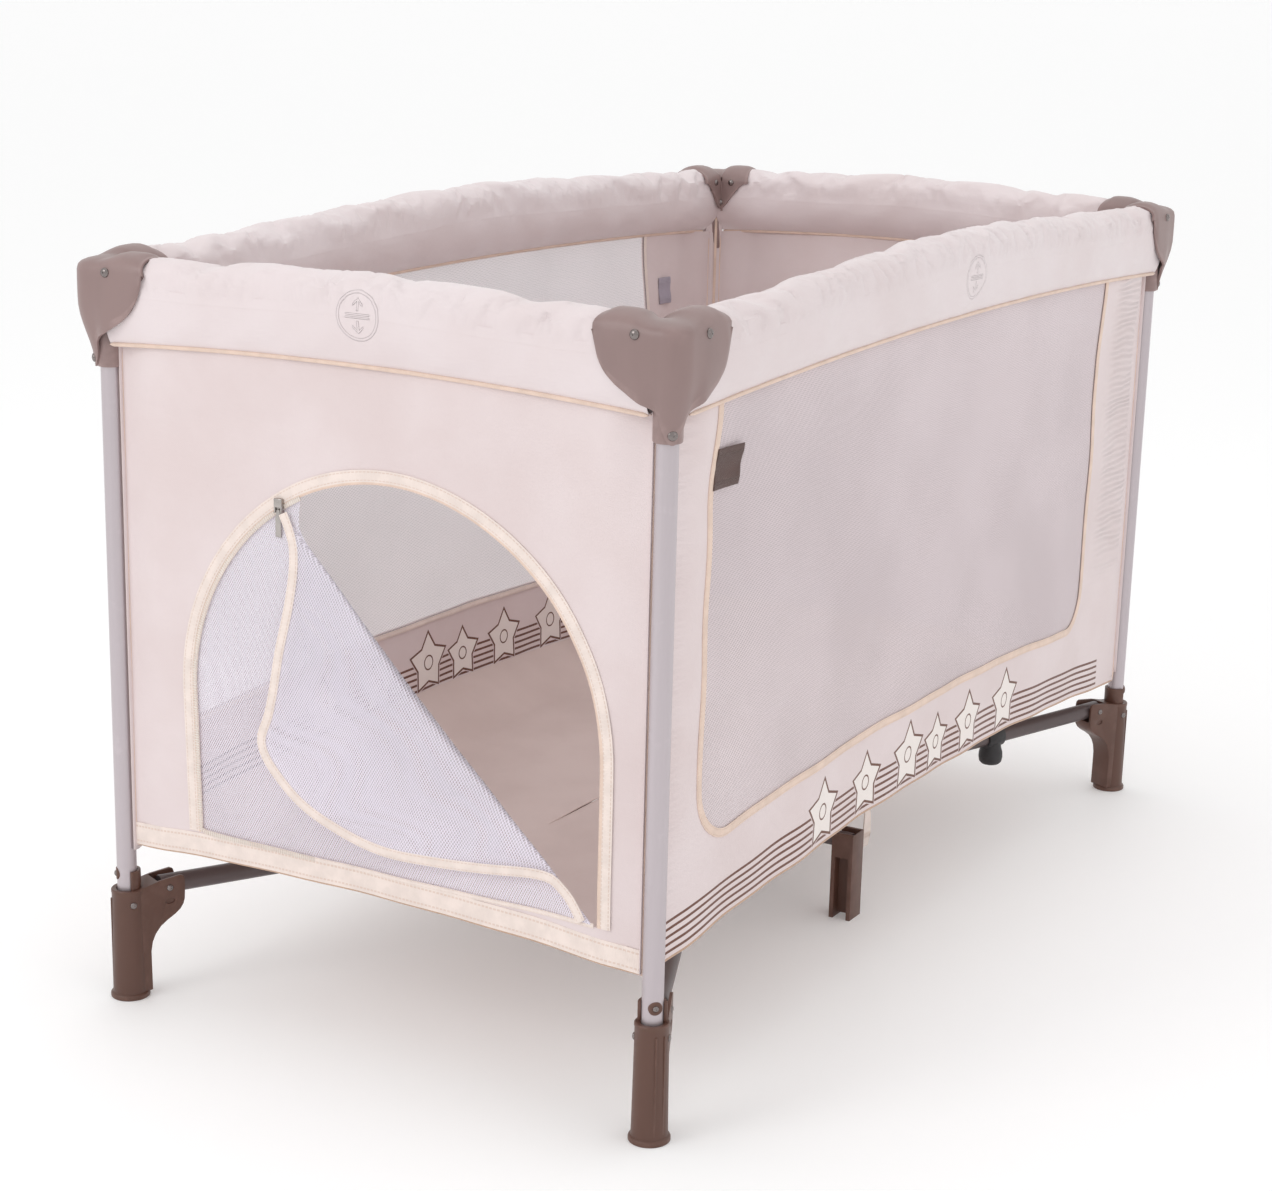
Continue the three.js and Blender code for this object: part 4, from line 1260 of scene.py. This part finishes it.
def screw(radius, head):
    """A round-headed rivet with a small dimple, along +Z from the face it sits on."""
    dome = [(radius * math.cos(a), head * math.sin(a)) for a in
            (math.radians(15 * i) for i in range(6))]
    body = turned_piece([(radius * 0.96, -0.0008), (radius, -0.0003), *dome,
                         (radius * 0.14, head * 0.995), (radius * 0.10, head * 0.8)], 32)
    return smooth(body, 50)


def aimed(obj, at, direction):
    turn = Vector(direction).to_track_quat("Z", "Y").to_matrix().to_4x4()
    return copied(obj, Matrix.Translation(at) @ turn)


def corner_matrix(x, y):
    """From the front left corner's own frame to any corner."""
    return Matrix.Translation((x * POST_X, y * POST_Y, 0)) @ Matrix.Diagonal((-x, -y, 1, 1))


def make_covers():
    cover = make_cover()
    head = screw(0.0046, 0.0026)
    small = screw(0.0040, 0.0022)
    screws = joined(
        aimed(head, (0.0195, -0.0270, 0.7420), (0, -1, 0)),
        aimed(head, (-0.0270, 0.0195, 0.7420), (-1, 0, 0)),
        aimed(head, (-0.0107, -0.0107, 0.6572), (-1, -1, 0)),
        aimed(small, (0.0380, 0.0238, 0.7400), (0, 1, 0)),
        aimed(small, (0.0238, 0.0380, 0.7400), (1, 0, 0)),
        aimed(small, (0.0236, 0.0236, 0.7130), (1, 1, 0)))
    for name, (x, y) in CORNERS.items():
        body = f"corner_{name}"
        named(copied(cover, corner_matrix(x, y)), f"cover_shell_{name}", taupe_plastic, body,
              [f"corner_cover_{name}"])
        named(copied(screws, corner_matrix(x, y)), f"cover_screws_{name}", rivet_chrome, body)
    for spare in (cover, head, small, screws):
        bpy.data.objects.remove(spare)


def make_foot():
    """Column, flared sole, wing with its channel, collar and ribs."""
    column = turned_piece([
        (0.0175, 0.0000), (0.0190, 0.0000), (0.0197, 0.0008), (0.0197, 0.0040), (0.0190, 0.0052),
        (0.0176, 0.0060), (0.0172, 0.0100), (0.0166, 0.0500), (0.0160, 0.1000), (0.0160, 0.1120),
        (0.0164, 0.1135), (0.0164, 0.1160), (0.0156, 0.1170), (0.0120, 0.1170), (0.0112, 0.1165),
        (0.0106, 0.1100)], 56)
    smooth(column, 38)
    profile = [(-0.002, 0.006), (0.0183, 0.006), (0.0180, 0.030), (0.0178, 0.048), (0.0196, 0.058),
               (0.0232, 0.066), (0.0290, 0.073), (0.0370, 0.0785), (0.0450, 0.0830),
               (0.0510, 0.0875), (0.0545, 0.0925), (0.0560, 0.0975), (0.0565, 0.1040),
               (0.0565, 0.1190), (0.0552, 0.1225), (0.0520, 0.1240), (0.0300, 0.1218),
               (0.0120, 0.1180), (-0.002, 0.1165)]
    wing = begin("circle_add", vertices=len(profile), radius=0.01, fill_type="NGON")
    for vertex, (px, pz) in zip(wing.data.vertices, profile):
        vertex.co = (px, -0.0140, pz)
    edit(wing)
    bpy.ops.mesh.extrude_region_move(TRANSFORM_OT_translate={"value": (0, 0.0280, 0)})
    bpy.ops.mesh.select_all(action="SELECT")
    bpy.ops.mesh.normals_make_consistent(inside=False)
    bpy.ops.object.mode_set(mode="OBJECT")
    channel = begin("cube_add", size=1, location=(0.0500, 0, 0.1500))
    channel.scale = (0.0446, 0.0220, 0.1000)
    fix_place(channel)
    carve(wing, channel)
    pocket = turned_piece([(0.0103, 0.0900), (0.0103, 0.1500)], 40)
    carve(wing, pocket, keep=True)
    carve(column, pocket)
    for side_y in (-0.0140, 0.0140):
        slot = begin("cylinder_add", vertices=24, radius=0.0032, depth=0.0030,
                     location=(0.0400, side_y, 0.0985), rotation=(math.pi / 2, 0, 0))
        slot.scale = (1.7, 1, 1)
        fix_place(slot)
        carve(wing, slot)
    soften(wing, 0.0008, 2, 40)
    collar = begin("circle_add", vertices=40, radius=0.0136, fill_type="NGON", location=(0, 0, 0.1150))
    fix_place(collar)
    edit(collar)
    bpy.ops.mesh.extrude_region_move(TRANSFORM_OT_translate={"value": (0, 0, 0.0215)})
    bpy.ops.mesh.select_all(action="SELECT")
    bpy.ops.mesh.normals_make_consistent(inside=False)
    bpy.ops.mesh.bisect(plane_co=(-0.0015, 0, 0), plane_no=(1, 0, 0), clear_outer=False,
                        clear_inner=True, use_fill=True)
    bpy.ops.object.mode_set(mode="OBJECT")
    bore = turned_piece([(0.0103, 0.1100), (0.0103, 0.1500)], 40)
    carve(collar, bore)
    soften(collar, 0.0006, 2, 40)
    # Raised rib lines down the outer face of the column.
    ribs = []
    for angle in (200, 232):
        a = math.radians(angle)
        rib = begin("cube_add", size=1, location=(0.0163 * math.cos(a), 0.0163 * math.sin(a), 0.058))
        rib.scale = (0.0018, 0.0020, 0.098)
        rib.rotation_euler = (0, 0, a)
        fix_place(rib)
        ribs.append(soften(rib, 0.0006, 2, 40))
    return joined(column, wing, collar, *ribs)


def carve(obj, tool, keep=False):
    tidy_normals(tool)
    modifier(obj, "BOOLEAN", operation="DIFFERENCE", object=tool, solver="EXACT")
    if not keep:
        bpy.data.objects.remove(tool)
    return obj


def make_feet():
    foot = make_foot()
    head = screw(0.0036, 0.0018)
    pins = joined(
        aimed(head, (ARM_PIVOT_OUT, -0.0141, ARM_PIVOT_Z), (0, -1, 0)),
        aimed(head, (ARM_PIVOT_OUT, 0.0141, ARM_PIVOT_Z), (0, 1, 0)),
        aimed(head, (-0.0010, -0.0160, 0.1020), (0, -1, 0)),
        aimed(head, (-0.0010, 0.0160, 0.1020), (0, 1, 0)))
    disc = turned_piece([(0.0066, -0.0030), (0.0066, 0.0002), (0.0060, 0.0009), (0.0048, 0.0010)], 32)
    smooth(disc, 35)
    rivet = screw(0.0030, 0.0018)
    axle = turned_piece([(0.0027, -0.0125), (0.0030, -0.0122), (0.0030, 0.0122), (0.0027, 0.0125)], 24)
    smooth(axle, 35)
    spin = Matrix.Rotation(ARM_YAW, 4, "Z")
    foot_turned = copied(foot, spin)
    pins_turned = joined(copied(pins, spin),
                         copied(aimed(axle, (ARM_PIVOT_OUT, 0, ARM_PIVOT_Z), (0, 1, 0)), spin))
    for name, (x, y) in CORNERS.items():
        body = f"corner_{name}"
        matrix = corner_matrix(x, y)
        named(copied(foot_turned, matrix), f"foot_shell_{name}", brown_plastic, body,
              [f"foot_{name}"])
        named(copied(pins_turned, matrix), f"foot_rivets_{name}", rivet_chrome, body)
        plug = copied(aimed(disc, (-0.0069, -0.0069, 0.1330), (-1, -1, 0)), matrix)
        named(plug, f"post_plug_{name}", brown_plastic, body)
        named(copied(aimed(rivet, (-0.0077, -0.0077, 0.1330), (-1, -1, 0)), matrix),
              f"post_rivet_{name}", rivet_chrome, body)


def finished_copy(node, material, bevel, body, angle=30, levels=2):
    """A machined part's own shape with its edges broken."""
    source = frame["nodes"][node]
    copy = source.copy()
    copy.data = source.data.copy()
    copy.parent = None
    for key in list(copy.keys()):
        del copy[key]
    bpy.context.scene.collection.objects.link(copy)
    copy.matrix_world = Matrix.Identity(4)
    edit(copy)
    bpy.ops.mesh.remove_doubles(threshold=0.00001)
    bpy.ops.mesh.dissolve_limited(angle_limit=math.radians(2))
    bpy.ops.object.mode_set(mode="OBJECT")
    soften(copy, bevel, levels, angle)
    return named(copy, f"{node}_part", material, body, [node])


def make_arms():
    for name, (x, y) in CORNERS.items():
        start = Vector((x * (POST_X - ARM_PIVOT_OUT * math.cos(ARM_YAW)),
                        y * (POST_Y - ARM_PIVOT_OUT * math.sin(ARM_YAW)), ARM_PIVOT_Z))
        end = Vector((x * HUB_PIN_X, y * HUB_PIN_Y, HUB_Z))
        heading = (end - start).normalized()
        length = (end - start).length
        tube = turned_piece([
            (0.0085, -0.0058), (0.0094, -0.0060), (0.0100, -0.0052), (0.0100, 0.0200),
            (0.0100, length - 0.0200), (0.0100, length + 0.0052), (0.0094, length + 0.0060),
            (0.0085, length + 0.0058)], 40)
        smooth(tube, 40)
        arm = aimed(tube, start, heading)
        bpy.data.objects.remove(tube)
        named(arm, f"arm_tube_{name}", arm_paint, f"arm_{name}", [f"base_arm_{name}"])
        if name == "front_right":
            # A rubber ring with a round buffer under it.
            stud = turned_piece([
                (0.0118, 0.0040), (0.0126, 0.0130), (0.0146, 0.0195), (0.0150, 0.0260), (0.0140, 0.0315),
                (0.0112, 0.0345), (0.0060, 0.0360), (0.0020, 0.0362)], 36)
            ring = turned_piece([
                (0.0102, -0.0130), (0.0124, -0.0130), (0.0134, -0.0118), (0.0134, 0.0118),
                (0.0124, 0.0130), (0.0102, 0.0130)], 36)
            at = start + heading * 0.176
            buffer = joined(aimed(smooth(stud, 40), at, (0, 0, -1)), aimed(smooth(ring, 40), at, heading))
            bpy.data.objects.remove(stud)
            bpy.data.objects.remove(ring)
            named(buffer, "arm_buffer", black_plastic, f"arm_{name}")


def make_base():
    finished_copy("hub", brown_plastic, 0.0012, "base_hub")
    finished_copy("hub_lift_strap", webbing, 0.0004, "base_hub")
    for end in ("front", "rear"):
        finished_copy(f"centre_leg_{end}", brown_plastic, 0.0009,
                      f"centre_leg_{end}")
        sign = -1 if end == "front" else 1
        tube = turned_piece([
            (0.0076, -0.0058), (0.0085, -0.0060), (0.0090, -0.0052), (0.0090, 0.0300),
            (0.0090, 0.1812), (0.0085, 0.1820), (0.0076, 0.1818)], 40)
        smooth(tube, 40)
        arm = aimed(tube, (0, sign * 0.038, HUB_Z), (0, sign, 0))
        bpy.data.objects.remove(tube)
        named(arm, f"mid_arm_tube_{end}", arm_paint, f"mid_arm_{end}", [f"mid_arm_{end}"])


def make_floor():
    """Four quarters of floor cloth, turned up to the walls along their outer edges."""
    x_end, y_end = 0.5994, 0.3056
    for name, (x, y) in CORNERS.items():
        long_side = SIDES["front" if y < 0 else "rear"]
        short_side = SIDES["left" if x < 0 else "right"]

        def place(u, v, x=x, y=y, a=long_side, b=short_side):
            px, py = x_end * u, y_end * v
            post = Vector((px - POST_X, py - POST_Y))
            if post.length < 0.0150:
                # The corner is cut out round the post.
                post = post.normalized() * 0.0150
                px, py = POST_X + post.x, POST_Y + post.y
            up_long = a.hem_z(x * px) + 0.004 - 0.55 * (y_end - py)
            up_short = b.hem_z(y * py) + 0.004 - 0.55 * (x_end - px)
            sag = 0.0010 * math.sin(21 * px + 3 * x) * math.sin(17 * py + 2 * y)
            base = 0.1512 + sag
            lift = max(up_long, up_short)
            gap = lift - base
            z = base + 0.5 * (gap + math.sqrt(gap * gap + 0.00004)) if gap > -0.05 else base
            return Vector((x * px, y * py, z))

        floor = cloth_grid(90, 60, place)
        if x * y < 0:
            floor.data.flip_normals()
        thicken(floor, 0.0010, 1)
        smooth(floor, 40)
        named(floor, f"floor_cloth_{name}", floor_cloth, f"arm_{name}", [f"floor_{name}"])
        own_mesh(floor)


def make_gussets():
    """A strip of cloth behind each post that closes the corner between two walls."""
    for name, (x, y) in CORNERS.items():
        matrix = corner_matrix(x, y)
        low, high = 0.160, 0.712

        def place(u, v, matrix=matrix):
            turn = math.radians(-14 + 118 * u)
            z = low + (high - low) * v
            radius = 0.0136 + 0.0006 * math.sin(31 * z + 5 * u) * math.sin(math.pi * u)
            return matrix @ Vector((radius * math.cos(turn), radius * math.sin(turn), z))

        strip = cloth_grid(16, 60, place)
        middle = matrix @ Vector((0, 0, 0))
        faced_out(strip, lambda at: Vector((at.x - middle.x, at.y - middle.y, 0)))
        thicken(strip, 0.0008, -1)
        named(strip, f"corner_gusset_{name}", ivory_cloth, f"corner_{name}")
        inward = Vector((-x, -y, 0)).normalized()
        seam = [middle + inward * 0.0144 + Vector((0, 0, low + (high - low) * i / 40))
                for i in range(41)]
        line = ribbon(seam, 0.0034, 0.0010, lambda at: inward, 0.0004)
        named(line, f"corner_seam_{name}", peach_tape, f"corner_{name}")


def make_floor_straps():
    """A short strap end that hangs from the floor cloth beside each centre leg."""
    for name, sign, leg in (("front_right", -1, "centre_leg_front"), ("rear_left", 1, "centre_leg_rear")):
        def place(u, v, sign=sign):
            round_end = 1 - 0.5 * (1 - ease(v / 0.18))
            x = -sign * (0.0470 + (u - 0.5) * 0.0170 * round_end)
            z = 0.0690 + 0.0800 * v
            return Vector((x, sign * (0.2130 + 0.0025 * math.sin(3 * v + u)), z))

        strap = cloth_grid(8, 40, place)
        thicken(strap, 0.0014)
        smooth(strap, 40)
        named(strap, f"floor_strap_{name}", ivory_tape, leg)


def make_small_cloth():
    front = SIDES["front"]
    for name, side, s0, s1, z0, z1, material in (
            ("label_brown", SIDES["front"], -0.527, -0.484, 0.594, 0.632, brown_label),
            ("label_grey", SIDES["rear"], 0.462, 0.487, 0.588, 0.622, grey_label)):
        inside = side is not front

        def place(u, v, side=side, inside=inside):
            s = s0 + (s1 - s0) * u
            z = z0 + (z1 - z0) * v
            curl = 0.0030 * u * u + 0.0006 * math.sin(9 * v)
            return side.wall(s, z, (-1 if inside else 1) * (0.0016 + curl))

        tag = cloth_grid(20, 18, place)
        thicken(tag, 0.0009)
        soften(tag, 0.0002, 1, 60)
        named(tag, name, material)
        gathers(tag, side)


zip_coil = moulded_finish("zip_coil", linear(226, 214, 204), 0.4, grain=900)
for side in SIDES.values():
    make_sleeves(side)
    make_seams_and_skirts(side)
make_long_wall(SIDES["front"])
make_long_wall(SIDES["rear"])
make_door_wall(SIDES["left"])
make_plain_wall(SIDES["right"])
make_flap(SIDES["left"])
make_floor()
for name, (x, y) in CORNERS.items():
    make_post(name, x * POST_X, y * POST_Y)
make_covers()
make_feet()
make_arms()
make_base()
make_small_cloth()
make_gussets()
make_floor_straps()
finished_copy("zip_slider", zip_metal, 0.0006, "zip_slider")
finished_copy("zip_pull", zip_metal, 0.0003, "zip_pull")

# The parts inside the sleeves keep their own shape.
for node, obj in frame["nodes"].items():
    if node.startswith("rail_"):
        named_material = silver_tube
    elif node.startswith("latch_button"):
        named_material = taupe_plastic
    elif node.startswith("latch_"):
        named_material = black_plastic
    else:
        continue
    obj.data.materials.clear()
    obj.data.materials.append(named_material)

# ---- floor of the studio, lights and camera ------------------------------------------
ground = begin("grid_add", x_subdivisions=60, y_subdivisions=60, size=160)
studio = Finish("studio_floor")
grain = studio.noise(90, 3)
studio.shade(Base_Color=studio.blend(grain * 0.2, (0.90, 0.90, 0.90), (0.86, 0.86, 0.86)),
             Roughness=grain * 0.1 + 0.55, Specular_IOR_Level=0.2,
             Emission_Color=(1.0, 1.0, 1.0), Emission_Strength=0.12)
named(ground, "studio_floor", studio.material)

world = bpy.data.worlds.new("soft_room")
bpy.context.scene.world = world
world.use_nodes = True
world.node_tree.nodes["Background"].inputs["Color"].default_value = (1.0, 1.0, 1.0, 1)
world.node_tree.nodes["Background"].inputs["Strength"].default_value = 0.94


def soft_light(name, place, target, size, power, colour=(1, 1, 1)):
    data = bpy.data.lights.new(name, "AREA")
    data.shape, data.size, data.energy, data.color = "SQUARE", size, power, colour
    lamp = bpy.data.objects.new(name, data)
    bpy.context.scene.collection.objects.link(lamp)
    lamp.location = place
    lamp.rotation_euler = (Vector(target) - Vector(place)).to_track_quat("-Z", "Y").to_euler()


soft_light("key_light", (-3.0, 1.3, 2.1), (0, 0, 0.4), 1.3, 17)
soft_light("top_light", (0.2, 0.2, 3.2), (0, 0, 0.2), 2.2, 8)
soft_light("front_light", (-0.6, -3.0, 1.7), (0, 0, 0.4), 1.6, 3)

camera_data = bpy.data.cameras.new("camera")
camera = bpy.data.objects.new("camera", camera_data)
bpy.context.scene.collection.objects.link(camera)
camera_data.lens, camera_data.sensor_width = 73.86, 36
camera_data.shift_x, camera_data.shift_y = -0.0499, 0.0410
yaw, pitch, roll = math.radians(61.59), math.radians(15.72), math.radians(1.77)
ahead = Vector((math.cos(pitch) * math.sin(yaw), math.cos(pitch) * math.cos(yaw), -math.sin(pitch)))
right = ahead.cross(Vector((0, 0, 1))).normalized()
up = right.cross(ahead)
tilted_right = right * math.cos(roll) + up * math.sin(roll)
tilted_up = up * math.cos(roll) - right * math.sin(roll)
turn = Matrix((tilted_right, tilted_up, -ahead)).transposed().to_4x4()
camera.matrix_world = Matrix.Translation((-2.501, -1.371, 1.082)) @ turn
bpy.context.scene.camera = camera
bpy.context.scene.view_settings.view_transform = "Standard"

# Patterns that were only copied from are taken off the bench.
for obj in list(bpy.data.objects):
    if obj.type == "MESH" and not ({"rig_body", "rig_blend"} & set(obj.keys())) and obj != ground:
        bpy.data.objects.remove(obj)
